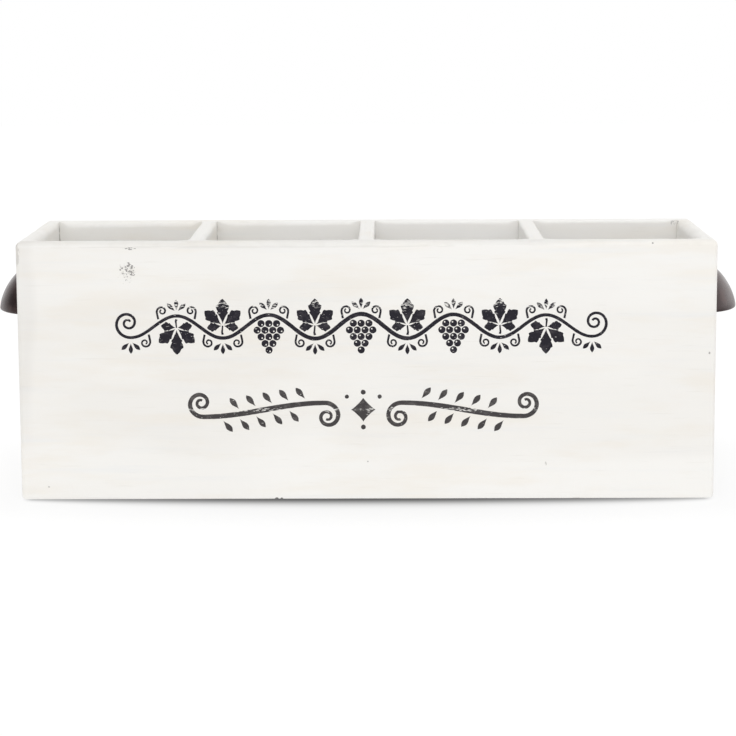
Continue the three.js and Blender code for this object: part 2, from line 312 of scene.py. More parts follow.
@dataclass(frozen=True)
class Mark:
    """A chip, speck or rub on a painted board, or a patch of painted shade or painted light, in
    millimetres in the rack's frame.
    """

    centre: Size
    reach: Size
    grain: Size = (1.0, 1.0, 1.0)
    level: float = 0.2
    strength: float = 0.8
    colour: Colour = (0.12, 0.11, 0.11)
    softness: float = 0.06
    depth: float = 1.0

    @classmethod
    def shade(cls, centre: Size, reach: Size, strength: float, colour: Colour) -> "Mark":
        """A wide, soft patch of painted shade, or of painted light where its colour is paler, with no
        relief.

        Args:
            centre: Its middle.
            reach: How far it reaches along each axis.
            strength: The share of its colour at the middle.
            colour: Its colour.

        Returns:
            The shade.
        """
        cloud = (140.0, 60.0, 60.0)
        return cls(centre, reach, cloud, 0.15, strength, colour, softness=0.35, depth=0.0)

    def mask(self, sheet: NodeSheet, place: Any, effects: Effects) -> NodeSocket:
        """Where the mark shows, in the sheet of its board's paint.

        Args:
            sheet: The paint's sheet.
            place: The place on the board in millimetres.
            effects: The shared effect groups.

        Returns:
            The mask.
        """
        oval = {"Vector": place, "Centre": self.centre, "Reach": self.reach}
        specks = {"Grain": self.grain, "Level": self.level, "Softness": self.softness}
        return sheet.place(effects.mark, oval | specks).outputs["Mask"]


Started = tuple[Material, NodeSheet, Node, NodeSocket]


@dataclass(frozen=True)
class Finish:
    """What every finish shares: a material with one shader and its coordinates in millimetres."""

    roughness: float = 0.5
    roughness_swing: float = 0.2
    relief_depth: float = 0.02

    def start(self, name: str) -> Started:
        """Starts a material.

        Args:
            name: The material's name.

        Returns:
            The material, its sheet, its shader and the place on the piece in millimetres.
        """
        material = bpy.data.materials.new(name)
        material.use_nodes = True
        sheet = NodeSheet(material.node_tree)
        shader = material.node_tree.nodes["Principled BSDF"]
        place = sheet.scaled(sheet.add("ShaderNodeTexCoord").outputs["Object"], 1 / MM)
        return material, sheet, shader, place

    def dress(self, sheet: NodeSheet, shader: Node, colour: Any, dullness: Any, height: Any) -> None:
        """Feeds the shader its colour, roughness and relief.

        Args:
            sheet: The material's sheet.
            shader: The material's shader.
            colour: The colour.
            dullness: What the roughness follows, about 0.5.
            height: What the relief follows, about 0 to 1.
        """
        least = self.roughness - self.roughness_swing / 2
        roughness = sheet.maths("MULTIPLY_ADD", dullness, self.roughness_swing, least)
        bump = {"Strength": 1.0, "Distance": self.relief_depth * MM, "Height": height}
        normal = sheet.add("ShaderNodeBump", bump).outputs["Normal"]
        for label, value in (("Base Color", colour), ("Roughness", roughness), ("Normal", normal)):
            sheet.feed(shader.inputs[label], value)


@dataclass(frozen=True)
class PaintFinish(Finish):
    """Chalky white paint, brushed along each board, a little warm in places, darker in its joints with
    painted shade and some soiling.
    """

    tone: Colour = (0.885, 0.872, 0.842)
    warm: Colour = (0.868, 0.838, 0.785)
    cool: Colour = (0.850, 0.848, 0.835)
    worn: Colour = (0.60, 0.56, 0.50)
    # The colour of the painted shade and grime at the joints.
    shade_and_grime_colour: Colour = (0.17, 0.155, 0.14)
    roughness: float = 0.62
    roughness_swing: float = 0.16
    stroke_length: float = 85.0
    stroke_width: float = 5.0
    patch: Size = (70.0, 15.0, 15.0)
    patch_contrast: float = 1.6
    grain: Size = (26.0, 1.3, 1.3)
    grain_relief: float = 0.5
    relief_depth: float = 0.05
    cool_share: float = 0.7
    thin_share: float = 0.16
    wear_patch: float = 11.0
    wear_amount: float = 0.46
    wear_share: float = 0.09
    # Painted shade with some grime at the joints; the slope makes it darker towards the left.
    shade_and_grime_patch: float = 6.0
    shade_and_grime_amount: float = 0.62
    shade_and_grime_share: float = 0.38
    painted_shade_slope: float = -0.0019
    filled_height: float = 148.5
    filled_fade: float = 3.0

    def material(self, name: str, run: Run, effects: Effects, marks: Iterable[Mark]) -> Material:
        """Makes the paint of one board.

        Args:
            name: The material's name.
            run: The axis that the brush followed.
            effects: The shared effect groups.
            marks: The chips and rubs on this board, and its patches of painted shade and painted light.

        Returns:
            The material.
        """
        material, sheet, shader, place = self.start(name)
        turn = ORIGIN if run is Run.X else (0.0, 0.0, math.pi / 2)
        along = sheet.out("ShaderNodeMapping", {"Vector": place, "Rotation": turn})
        lengths = {"Vector": along, "Length": self.stroke_length, "Width": self.stroke_width}
        strokes = sheet.place(effects.strokes, lengths).outputs
        patches = effects.mottled(sheet, along, self.patch, self.patch_contrast)
        grain = effects.mottled(sheet, along, self.grain, 1.0)
        colour = sheet.blend(sheet.spread(patches, start=0.42, stop=0.85), self.tone, self.warm)
        coolness = sheet.spread(strokes["Tone"], start=0.5, stop=0.78)
        colour = sheet.blend(coolness, colour, self.cool, self.cool_share)
        thin = sheet.spread(grain, start=0.60, stop=0.80)
        colour = sheet.blend(thin, colour, self.worn, self.thin_share)
        worn = effects.worn(sheet, "edge", place, self.wear_patch, self.wear_amount)
        colour = sheet.blend(worn, colour, self.worn, self.wear_share)
        # Painted shade in the inner corners where boards meet, with some grime, fading out just under the
        # rim.
        shade_and_grime = effects.worn(sheet, "joint", place, self.shade_and_grime_patch, self.shade_and_grime_amount)
        share = sheet.maths("MULTIPLY_ADD", sheet.part(place, "X"), self.painted_shade_slope, self.shade_and_grime_share)
        filled = self.filled_height
        open_joint = sheet.spread(sheet.part(place, "Z"), start=filled, stop=filled - self.filled_fade)
        share = sheet.maths("MULTIPLY", share, open_joint)
        colour = sheet.blend(shade_and_grime, colour, self.shade_and_grime_colour, share)
        height = sheet.maths("MULTIPLY_ADD", grain, self.grain_relief, strokes["Height"])
        for mark in marks:
            mask = mark.mask(sheet, place, effects)
            colour = sheet.blend(mask, colour, mark.colour, mark.strength)
            height = sheet.maths("SUBTRACT", height, sheet.maths("MULTIPLY", mask, mark.depth))
        self.dress(sheet, shader, colour, strokes["Tone"], height)
        return material


@dataclass(frozen=True)
class StencilFinish(Finish):
    """Flat charcoal paint dabbed through a stencil and scuffed along the board."""

    tone: Colour = (0.012, 0.0105, 0.017)
    faded: Colour = (0.042, 0.038, 0.046)
    bare: Colour = (0.80, 0.785, 0.75)
    roughness: float = 0.66
    gloss: float = 0.2
    blotch: Size = (5.0, 5.0, 3.2)
    blotch_contrast: float = 2.0
    fleck: Size = (2.6, 2.6, 0.5)
    scuff_height: float = 0.0
    scuff_reach: float = 1.0
    scuff_core: float = 0.2
    scuff_gain: float = 0.13

    def material(self, name: str, effects: Effects) -> Material:
        """Makes the print's paint.

        Args:
            name: The material's name.
            effects: The shared effect groups.

        Returns:
            The material.
        """
        material, sheet, shader, place = self.start(name)
        blotch = effects.mottled(sheet, place, self.blotch, self.blotch_contrast)
        colour = sheet.blend(sheet.spread(blotch, start=0.45, stop=0.95), self.tone, self.faded)
        flecks = effects.mottled(sheet, place, self.fleck, 1.0)
        lift = sheet.maths("SUBTRACT", sheet.part(place, "Z"), self.scuff_height)
        away = sheet.maths("ABSOLUTE", lift)
        band = sheet.spread(away, self.scuff_reach, self.scuff_core * self.scuff_reach)
        worn = sheet.maths("MULTIPLY_ADD", band, self.scuff_gain, flecks)
        gone = sheet.spread(worn, start=0.66, stop=0.71)
        shader.inputs["Specular IOR Level"].default_value = self.gloss
        self.dress(sheet, shader, sheet.blend(gone, colour, self.bare), blotch, flecks)
        return material


@dataclass(frozen=True)
class MetalFinish(Finish):
    """Lacquered or bare metal with a soft mottle and rubbed edges."""

    tone: Colour = (0.020, 0.0105, 0.0112)
    cloud: Colour = (0.050, 0.029, 0.027)
    rubbed: Colour = (0.13, 0.10, 0.085)
    sheen: Colour = (1.0, 0.86, 0.84)
    metallic: float = 0.15
    roughness: float = 0.28
    roughness_swing: float = 0.18
    gloss: float = 0.4
    patch: float = 7.0
    patch_contrast: float = 1.8
    pore: float = 0.5
    relief_depth: float = 0.012
    wear_patch: float = 3.0
    wear_amount: float = 0.5
    wear_share: float = 0.7

    def material(self, name: str, effects: Effects) -> Material:
        """Makes the metal.

        Args:
            name: The material's name.
            effects: The shared effect groups.

        Returns:
            The material.
        """
        material, sheet, shader, place = self.start(name)
        clouds = effects.mottled(sheet, place, (self.patch,) * 3, self.patch_contrast)
        pores = effects.mottled(sheet, place, (self.pore,) * 3, 1.0)
        worn = effects.worn(sheet, "edge", place, self.wear_patch, self.wear_amount)
        colour = sheet.blend(sheet.spread(clouds, start=0.35, stop=0.9), self.tone, self.cloud)
        colour = sheet.blend(worn, colour, self.rubbed, self.wear_share)
        shader.inputs["Metallic"].default_value = self.metallic
        shader.inputs["Specular IOR Level"].default_value = self.gloss
        shader.inputs["Specular Tint"].default_value = rgba(self.sheen)
        self.dress(sheet, shader, colour, clouds, pores)
        return material


# Meshes

def add_piece(name: str, data: Any) -> Object:
    """Puts a mesh, a lamp or a camera into the scene as an object at the origin.

    Args:
        name: The object's name.
        data: The mesh, lamp or camera.

    Returns:
        The object.
    """
    piece = bpy.data.objects.new(name, data)
    bpy.context.scene.collection.objects.link(piece)
    return piece


def corners(node: str) -> tuple[Vector, Vector]:
    """A node's lowest and highest corners in millimetres."""
    low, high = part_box(node)
    return low / MM, high / MM


def crease(mesh: Mesh, degrees: float) -> None:
    """Shades a mesh smoothly, apart from creases of at least that angle."""
    mesh.shade_smooth()
    mesh.set_sharp_from_angle(angle=math.radians(degrees))


def mesh_from(name: str, shape: BMesh, sharp_degrees: float) -> Mesh:
    """Turns a closed shape into a smooth mesh with sharp creases.

    Args:
        name: The mesh's name.
        shape: The shape, which is freed.
        sharp_degrees: The least angle of a crease.

    Returns:
        The mesh, with its faces outwards.
    """
    bmesh.ops.recalc_face_normals(shape, faces=shape.faces)
    mesh = bpy.data.meshes.new(name)
    shape.to_mesh(mesh)
    shape.free()
    crease(mesh, sharp_degrees)
    return mesh


def evaluated_mesh(piece: Object) -> Mesh:
    """The plain mesh that a piece's modifiers make.

    Args:
        piece: The object with the modifiers.

    Returns:
        A new mesh.
    """
    bpy.context.view_layer.update()
    depsgraph = bpy.context.evaluated_depsgraph_get()
    return bpy.data.meshes.new_from_object(piece.evaluated_get(depsgraph), depsgraph=depsgraph)


def discard(piece: Object) -> None:
    """Removes a helper object and its mesh.

    Args:
        piece: The helper.
    """
    mesh = piece.data
    bpy.data.objects.remove(piece)
    bpy.data.meshes.remove(mesh)


def drawn_in(radius: float, distance: float) -> float:
    """How far a quarter round of that radius draws a face in, at a distance from the end.

    Args:
        radius: The round's radius.
        distance: The distance from the end.

    Returns:
        The draw, none past the round.
    """
    if distance >= radius:
        return 0.0
    return radius - math.sqrt(radius**2 - (radius - distance) ** 2)


def aim(angle: float) -> Vector:
    """The flat direction of an angle."""
    return Vector((math.cos(angle), math.sin(angle)))


def ease(share: float) -> float:
    """A smooth step from 0 to 1."""
    held = min(1.0, max(0.0, share))
    return held * held * (3 - 2 * held)


# Boards

class Edge(Enum):
    """The four long edges of a board, going round its section from the low corner."""

    LOW_FOOT = 0
    HIGH_FOOT = 1
    HIGH_RIM = 2
    LOW_RIM = 3

    @property
    def on_low(self) -> bool:
        """Whether it is on the board's low side."""
        return self in (Edge.LOW_FOOT, Edge.LOW_RIM)

    @property
    def on_foot(self) -> bool:
        """Whether it is at the board's foot."""
        return self in (Edge.LOW_FOOT, Edge.HIGH_FOOT)


class Side(Enum):
    """The side of a board that faces the cells."""

    LOW = 0
    HIGH = 1
    BOTH = 2


@dataclass(frozen=True)
class EndRounds:
    """How much the two ends of a board are rounded off at each of its four sides, in millimetres."""

    low: float = 0.0
    high: float = 0.0
    foot: float = 0.0
    rim: float = 0.0

    @property
    def largest(self) -> float:
        """The largest of the four."""
        return max(self.low, self.high, self.foot, self.rim)


@dataclass(frozen=True)
class Mouth:
    """The sanded rim of one cell along a board, in millimetres."""

    start: float
    stop: float
    start_radius: float
    stop_radius: float
    fade: float = 7.0

    def radius_at(self, place: float) -> float:
        """The round-over's radius at a place, fading out towards the cell's corners.

        Args:
            place: The place along the board.

        Returns:
            The radius, nothing outside the cell.
        """
        if not self.start < place < self.stop:
            return 0.0
        share = (place - self.start) / (self.stop - self.start)
        radius = self.start_radius + share * (self.stop_radius - self.start_radius)
        return radius * ease(min(place - self.start, self.stop - place) / self.fade)


@dataclass(frozen=True)
class Knock:
    """A small dent in one long edge of a board, in millimetres."""

    edge: Edge
    place: float
    width: float
    depth: float

    def depth_at(self, place: float) -> float:
        """How deep the dent is at a place along the board."""
        return self.depth * math.exp(-(((place - self.place) / self.width) ** 2))


@dataclass
class SandedBoard:
    """A board with hand-sanded edges, drawn as a section that changes along its length.

    Sizes are in millimetres, and the four radii go round the section in the order of Edge.
    """

    node: str
    run: Run
    low: Vector
    high: Vector
    radii: tuple[float, float, float, float]
    inner: Side = Side.BOTH
    ends: EndRounds = EndRounds()
    mouths: dict[Edge, list[Mouth]] = field(default_factory=dict)
    knocks: list[Knock] = field(default_factory=list)
    meets: list[float] = field(default_factory=list)
    seed: float = 0.0
    arris: float = 0.15
    support: float = 0.5
    arc_steps: int = 7
    longest_step: float = 4.0
    unevenness: float = 0.22
    sag: float = 0.12
    joint_reach: float = 1.5
    joint_steps: tuple[float, ...] = (0.0, 0.25, 0.5, 0.9, 1.5, 2.4, 3.6, 5.2, 7.0)
    end_steps: int = 9
    knock_steps: int = 4
    least_step: float = 0.01
    edge_lane: float = 3.1
    edge_pitch: float = 19.0
    rim_lane: float = 11.7
    rim_pitch: float = 43.0
    full_round: float = 1.2
    crease_angle: float = 32.0

    def along(self, place: float, across: float, height: float) -> Vector:
        """A point of the board in metres, from its place along, across and up.

        Args:
            place: Along the run.
            across: Across the run.
            height: Above the floor.

        Returns:
            The point.
        """
        point = Vector((0.0, 0.0, height))
        point[self.run.value] = place
        point[self.run.across] = across
        return point * MM

    @property
    def start(self) -> float:
        """Where the board starts along its run."""
        return self.low[self.run.value]

    @property
    def stop(self) -> float:
        """Where the board stops along its run."""
        return self.high[self.run.value]

    def to_end(self, place: float) -> float:
        """The distance from a place to the nearer end."""
        return min(place - self.start, self.stop - place)

    def waver(self, place: float, lane: float, pitch: float) -> float:
        """Smooth unevenness from -1 to 1 along the board, different in each lane."""
        return noise.noise(Vector((place / pitch, lane, self.seed)))

    def stations(self) -> list[float]:
        """Places where the section is drawn, close together where it changes.

        Returns:
            The places, from the start to the stop of the board.
        """
        places = [self.start, self.stop]
        arc = max(self.ends.largest, self.arris)
        for step in range(1, self.end_steps + 1):
            inward = arc * (1 - math.cos(step / self.end_steps * math.pi / 2))
            places += [self.start + inward, self.stop - inward]
        for meet in [*self.meets, self.start, self.stop]:
            places += [meet + side * gap for gap in self.joint_steps for side in (-1, 1)]
        steps = range(-self.knock_steps, self.knock_steps + 1)
        for knock in self.knocks:
            places += [knock.place + knock.width * step / 2 for step in steps]
        kept: list[float] = []
        for place in sorted(p for p in places if self.start <= p <= self.stop):
            if not kept or place - kept[-1] > self.least_step:
                kept.append(place)
        filled = kept[:1]
        for before, after in zip(kept, kept[1:]):
            parts = math.ceil((after - before) / self.longest_step)
            filled += [before + (after - before) * part / parts for part in range(1, parts + 1)]
        return filled

    def edge_radius(self, edge: Edge, place: float) -> float:
        """The radius of one long edge at a place.

        Args:
            edge: The edge.
            place: The place along the board.

        Returns:
            The radius, never less than the arris.
        """
        radius = self.radii[edge.value]
        for mouth in self.mouths.get(edge, []):
            radius = max(radius, mouth.radius_at(place))
        radius *= 1 + self.unevenness * self.waver(place, self.edge_lane * edge.value, self.edge_pitch)
        radius += sum(knock.depth_at(place) for knock in self.knocks if knock.edge is edge)
        side = self.ends.low if edge.on_low else self.ends.high
        level = self.ends.foot if edge.on_foot else self.ends.rim
        distance = self.to_end(place)
        taken = (drawn_in(side, distance) + drawn_in(level, distance)) / 2
        return max(self.arris, radius - taken)

    def joint_shade_and_grime(self, place: float, edge: Edge) -> float:
        """How near a place is to a joint with another board, from 0 to 1, which sets the painted shade
        and soiling there.

        Args:
            place: The place along the board.
            edge: The long edge that is asked about.

        Returns:
            The nearness.
        """
        gaps = [self.to_end(place)] if self.inner is Side.BOTH else []
        if self.inner is Side.BOTH or edge.on_low == (self.inner is Side.LOW):
            gaps += [abs(place - meet) for meet in self.meets]
        return max([0.0, *(1 - gap / self.joint_reach for gap in gaps)])

    def section(self, place: float) -> Section:
        """The board's section at a place.

        Args:
            place: The place along the board.

        Returns:
            For each point its place across, its height, its edge value and its joint value.
        """
        distance = self.to_end(place)
        across = self.run.across
        low = self.low[across] + drawn_in(self.ends.low, distance)
        high = self.high[across] - drawn_in(self.ends.high, distance)
        foot = self.low.z + drawn_in(self.ends.foot, distance)
        rim = self.high.z - drawn_in(self.ends.rim, distance)
        rim -= self.sag * (0.5 + 0.5 * self.waver(place, self.rim_lane, self.rim_pitch))
        at_end = 0.0
        if self.ends.largest > 0:
            at_end = 1 - ease(distance / self.ends.largest)
        quarter = math.pi / 2
        points = []
        for edge in Edge:
            radius = self.edge_radius(edge, place)
            side = low + radius if edge.on_low else high - radius
            level = foot + radius if edge.on_foot else rim - radius
            first = math.radians(180 + 90 * edge.value)
            # The nearness to a joint, which sets the painted shade and grime there.
            shade_and_grime = self.joint_shade_and_grime(place, edge)
            arc = [(first + quarter * step / self.arc_steps, 0) for step in range(self.arc_steps + 1)]
            for angle, arm in [(first, -1), *arc, (first + quarter, 1)]:
                spot = Vector((side, level)) + radius * aim(angle)
                spot += arm * self.support * Vector((-math.sin(angle), math.cos(angle)))
                rounded = 0.0 if arm else min(1.0, radius / self.full_round)
                points.append((spot.x, spot.y, max(rounded, at_end), shade_and_grime))
        return points

    def flat_end(self, section: Section) -> Section:
        """The flat of a board's end, inside its rounding.

        Args:
            section: The board's last section.

        Returns:
            The section drawn in by the support all round.
        """
        drawn = []
        for values in list(zip(*section))[:2]:
            middle = (min(values) + max(values)) / 2
            share = 1 - 2 * self.support / (max(values) - min(values))
            drawn.append([middle + (value - middle) * share for value in values])
        return [(across, height, 0.0, point[3]) for across, height, point in zip(*drawn, section)]

    def mesh(self) -> Mesh:
        """Sweeps the section along the board.

        Returns:
            The closed mesh, with an edge and a joint value at each point.
        """
        shape = bmesh.new()
        edge_layer = shape.verts.layers.float.new("edge")
        joint_layer = shape.verts.layers.float.new("joint")
        places = self.stations()
        sections = [self.section(place) for place in places]
        places = [places[0], *places, places[-1]]
        sections = [self.flat_end(sections[0]), *sections, self.flat_end(sections[-1])]
        rings = []
        for place, section in zip(places, sections):
            ring = []
            for across, height, edge, joint in section:
                vertex = shape.verts.new(self.along(place, across, height))
                vertex[edge_layer] = edge
                vertex[joint_layer] = joint
                ring.append(vertex)
            rings.append(ring)
        for here, there in zip(rings, rings[1:]):
            for index in range(len(here)):
                before = index - 1
                shape.faces.new((here[before], here[index], there[index], there[before]))
        shape.faces.new(rings[0])
        shape.faces.new(list(reversed(rings[-1])))
        return mesh_from(self.node, shape, self.crease_angle)


@dataclass
class BottleBox:
    """The painted box: two long panels, two end panels, the base and the dividers."""

    film: float = 0.06
    hairline: float = 0.08
    divider_gap: float = 0.16
    rim_round: float = 3.0
    corner_round: float = 2.5
    foot_round: float = 0.6
    foot_corner: float = 2.3
    front_mouth: float = 2.4
    end_mouth: float = 4.5
    divider_rounds: tuple[tuple[float, float], ...] = ((1.5, 2.6), (1.4, 1.5), (1.7, 1.4))
    back_mouths: tuple[tuple[float, float], ...] = ((4.4, 3.5), (3.3, 2.9), (2.6, 2.3), (2.3, 1.9))
    sharp: float = 0.2
    base_foot: float = 0.5
    dividers: tuple[str, ...] = ("left_divider", "middle_divider", "right_divider")

    def stops(self) -> list[float]:
        """The places along the box where a long panel meets an end panel or a divider.

        Returns:
            The faces of the end panels and dividers, from left to right, in pairs for each cell.
        """
        faces = [corners("left_end_panel")[1].x]
        for divider in self.dividers:
            low, high = corners(divider)
            faces += [low.x, high.x]
        return [*faces, corners("right_end_panel")[0].x]

    def cell_mouths(self, radii: Sequence[tuple[float, float]]) -> list[Mouth]:
        """The sanded rims of the cells along a long panel.

        Args:
            radii: The radius at the start and at the stop of each cell.

        Returns:
            One mouth for each cell.
        """
        stops = self.stops()
        return [Mouth(stops[2 * cell], stops[2 * cell + 1], *pair) for cell, pair in enumerate(radii)]

    def front(self) -> SandedBoard:
        """The front panel, its face kept back by the thickness of the print.

        Returns:
            The board.
        """
        low, high = corners("front_panel")
        low.y += self.film
        cells = len(self.dividers) + 1
        mouths = self.cell_mouths([(self.front_mouth, self.front_mouth)] * cells)
        return SandedBoard(
            "front_panel", Run.X, low, high,
            radii=(self.foot_round, self.sharp, self.sharp, self.rim_round),
            inner=Side.HIGH,
            ends=EndRounds(low=self.corner_round, foot=self.foot_corner, rim=self.rim_round),
            mouths={Edge.HIGH_RIM: mouths},
            knocks=[
                Knock(Edge.LOW_FOOT, -52.2, 0.8, 0.6),
                Knock(Edge.LOW_FOOT, -49.4, 0.6, 0.45),
                Knock(Edge.LOW_FOOT, 121.0, 2.5, 0.5),
                Knock(Edge.LOW_RIM, 162.8, 0.8, 0.5),
                Knock(Edge.LOW_RIM, -86.0, 5.0, 0.5),
                Knock(Edge.LOW_RIM, 61.0, 7.0, 0.4),
            ],
            meets=self.stops(),
            seed=1.7,
        )

    def back(self) -> SandedBoard:
        """The back panel, its rim sanded more in some cells than in others.

        Returns:
            The board.
        """
        low, high = corners("back_panel")
        return SandedBoard(
            "back_panel", Run.X, low, high,
            radii=(self.sharp, self.foot_round, self.rim_round, self.sharp),
            inner=Side.LOW,
            ends=EndRounds(high=self.corner_round, foot=self.foot_corner, rim=self.rim_round),
            mouths={Edge.LOW_RIM: self.cell_mouths(self.back_mouths)},
            knocks=[Knock(Edge.LOW_RIM, -148.0, 9.0, 0.6), Knock(Edge.HIGH_RIM, 72.0, 4.0, 0.7)],
            meets=self.stops(),
            seed=5.3,
        )

    def end(self, node: str, inner: Edge, seed: float) -> SandedBoard:
        """An end panel, butted between the long panels.

        Args:
            node: The panel's node.
            inner: The rim edge that faces the cells.
            seed: A number of its own for its unevenness.

        Returns:
            The board.
        """
        low, high = corners(node)
        seat = corners("front_panel")[1].y + self.hairline
        low.y, high.y = seat, -seat
        on_low = inner is Edge.LOW_RIM
        rim, foot, sharp = self.rim_round, self.foot_corner, self.sharp
        return SandedBoard(
            node, Run.Y, low, high,
            radii=(sharp, foot, rim, sharp) if on_low else (foot, sharp, sharp, rim),
            mouths={inner: [Mouth(low.y, high.y, self.end_mouth, self.end_mouth)]},
            seed=seed,
        )

    def base(self) -> SandedBoard:
        """The base panel, its edges close to the four walls.

        Returns:
            The board.
        """
        low, high = corners("base_panel")
        reach = self.stops()[-1] - self.hairline
        seat = corners("front_panel")[1].y + self.hairline
        low.x, high.x = -reach, reach
        low.y, high.y = seat, -seat
        return SandedBoard(
            "base_panel", Run.X, low, high,
            radii=(self.base_foot, self.base_foot, self.sharp, self.sharp),
            meets=self.stops(), seed=9.1, sag=0.0,
        )

    def divider(self, index: int) -> SandedBoard:
        """One divider, from the front panel to the back panel.

        Args:
            index: Its place in the row, from the left.

        Returns:
            The board.
        """
        node = self.dividers[index]
        low, high = corners(node)
        seat = corners("front_panel")[1].y + self.divider_gap
        low.y, high.y = seat, -seat
        low.z = corners("base_panel")[1].z + self.hairline
        left, right = self.divider_rounds[index]
        mouths = {
            Edge.LOW_RIM: [Mouth(low.y, high.y, left, left)],
            Edge.HIGH_RIM: [Mouth(low.y, high.y, right, right)],
        }
        return SandedBoard(
            node, Run.Y, low, high, radii=(self.sharp,) * 4, mouths=mouths, seed=20.0 + 3 * index
        )

    def marks(self) -> dict[str, list[Mark]]:
        """The chips, specks and rubs on each board, and its patches of painted shade and painted light.

        Returns:
            The marks by node.
        """
        face = corners("front_panel")[0].y
        tiny = (0.9, 0.9, 0.9)
        dark = (0.15, 0.14, 0.14)
        grey = (0.34, 0.32, 0.30)
        front = [
            Mark((-135.9, face, 133.5), (7.2, 3.0, 7.8), (1.6, 1.6, 1.3), 0.525, 0.78, dark),
            Mark((-136.4, face, 131.5), (9.5, 3.0, 11.0), (2.6, 2.6, 2.0), 0.57, 0.2, grey),
            Mark((-134.6, face, 146.3), (5.0, 3.0, 1.1), (1.5, 1.5, 1.0), 0.46, 0.75),
            Mark((162.8, face + 0.4, 148.4), (0.6, 1.5, 0.6), strength=0.6),
            Mark((-52.2, face + 0.8, 0.3), (1.2, 2.0, 0.8), level=0.05),
            Mark((-49.4, face + 0.8, 0.25), (0.9, 2.0, 0.65), level=0.05),
            Mark((-184.0, face, 7.4), (0.7, 2.0, 0.5), strength=0.4),
            Mark((196.0, face, 85.0), (0.6, 2.0, 0.9), strength=0.6),
            Mark((103.0, face, 20.5), (1.0, 2.0, 1.8), tiny, 0.45, 0.45, grey),
            Mark((0.5, face, 22.0), (0.5, 2.0, 0.5), strength=0.5),
            Mark((-199.0, face + 1.0, 143.0), (2.4, 4.0, 9.0), (2.0, 2.0, 5.0), 0.42, 0.35, grey),
            # A faint painted shade line, with a slight groove, where the rim's round-over meets the face.
            Mark((-60.0, face, 146.9), (190.0, 3.0, 0.9), (26.0, 3.0, 0.8), 0.40, 0.10, grey),
            # Painted shade down the round-over of the front's left corner.
            Mark.shade((-203.0, face, 105.0), (17.0, 9.0, 110.0), 0.09, grey),
            # Painted shade that dims the lit round-over along the front's rim.
            Mark.shade((-40.0, face + 3.5, 149.5), (270.0, 7.0, 3.4), 0.11, grey),
            # Painted shade in a warm band across the front's middle height.
            Mark.shade((40.0, face, 75.0), (420.0, 9.0, 62.0), 0.07, (0.42, 0.35, 0.26)),
            # Painted shade, darker towards the left of the front.
            Mark.shade((-210.0, face, 75.0), (280.0, 9.0, 160.0), 0.04, (0.42, 0.37, 0.30)),
        ]
        return {
            "front_panel": front,
            "back_panel": [
                Mark((188.5, 45.5, 148.0), (2.6, 2.5, 2.2), (0.8, 0.8, 0.8), 0.50, 0.7),
                # Painted light, paler and cooler, on the right of the back panel's inner face.
                Mark.shade((170.0, 45.0, 130.0), (260.0, 9.0, 90.0), 0.6, (0.93, 0.925, 0.915)),
            ],
            "right_end_panel": [Mark((191.2, 42.0, 148.5), (1.6, 3.0, 2.0), tiny, 0.52, 0.6)],
        }

    def build(self, paint: PaintFinish, effects: Effects) -> list[Object]:
        """Builds and paints every board.

        Args:
            paint: The paint's finish.
            effects: The shared effect groups.

        Returns:
            The painted boards, each standing for its own node.
        """
        boards = [
            self.front(),
            self.back(),
            self.end("left_end_panel", Edge.HIGH_RIM, 13.9),
            self.end("right_end_panel", Edge.LOW_RIM, 17.2),
            self.base(),
            *(self.divider(index) for index in range(len(self.dividers))),
        ]
        marks = self.marks()
        pieces = []
        for board in boards:
            piece = add_piece(f"painted_{board.node}", board.mesh())
            name = f"white_paint_{board.node}"
            material = paint.material(name, board.run, effects, marks.get(board.node, []))
            piece.data.materials.append(material)
            pieces.append(carry(piece, "white_paint", board.node))
        return pieces


def carry(piece: Object, slot: str, *nodes: str) -> Object:
    """Rides a piece on the rack, hides the nodes that it stands for, and logs it.

    Args:
        piece: The finished piece.
        slot: The record's material slot; not used.
        *nodes: The nodes that it replaces.

    Returns:
        The piece.
    """
    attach(piece, BODY)
    if nodes:
        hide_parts(*nodes)
    log.info("%s: %d faces", piece.name, len(piece.data.polygons))
    return piece


# Cup handles

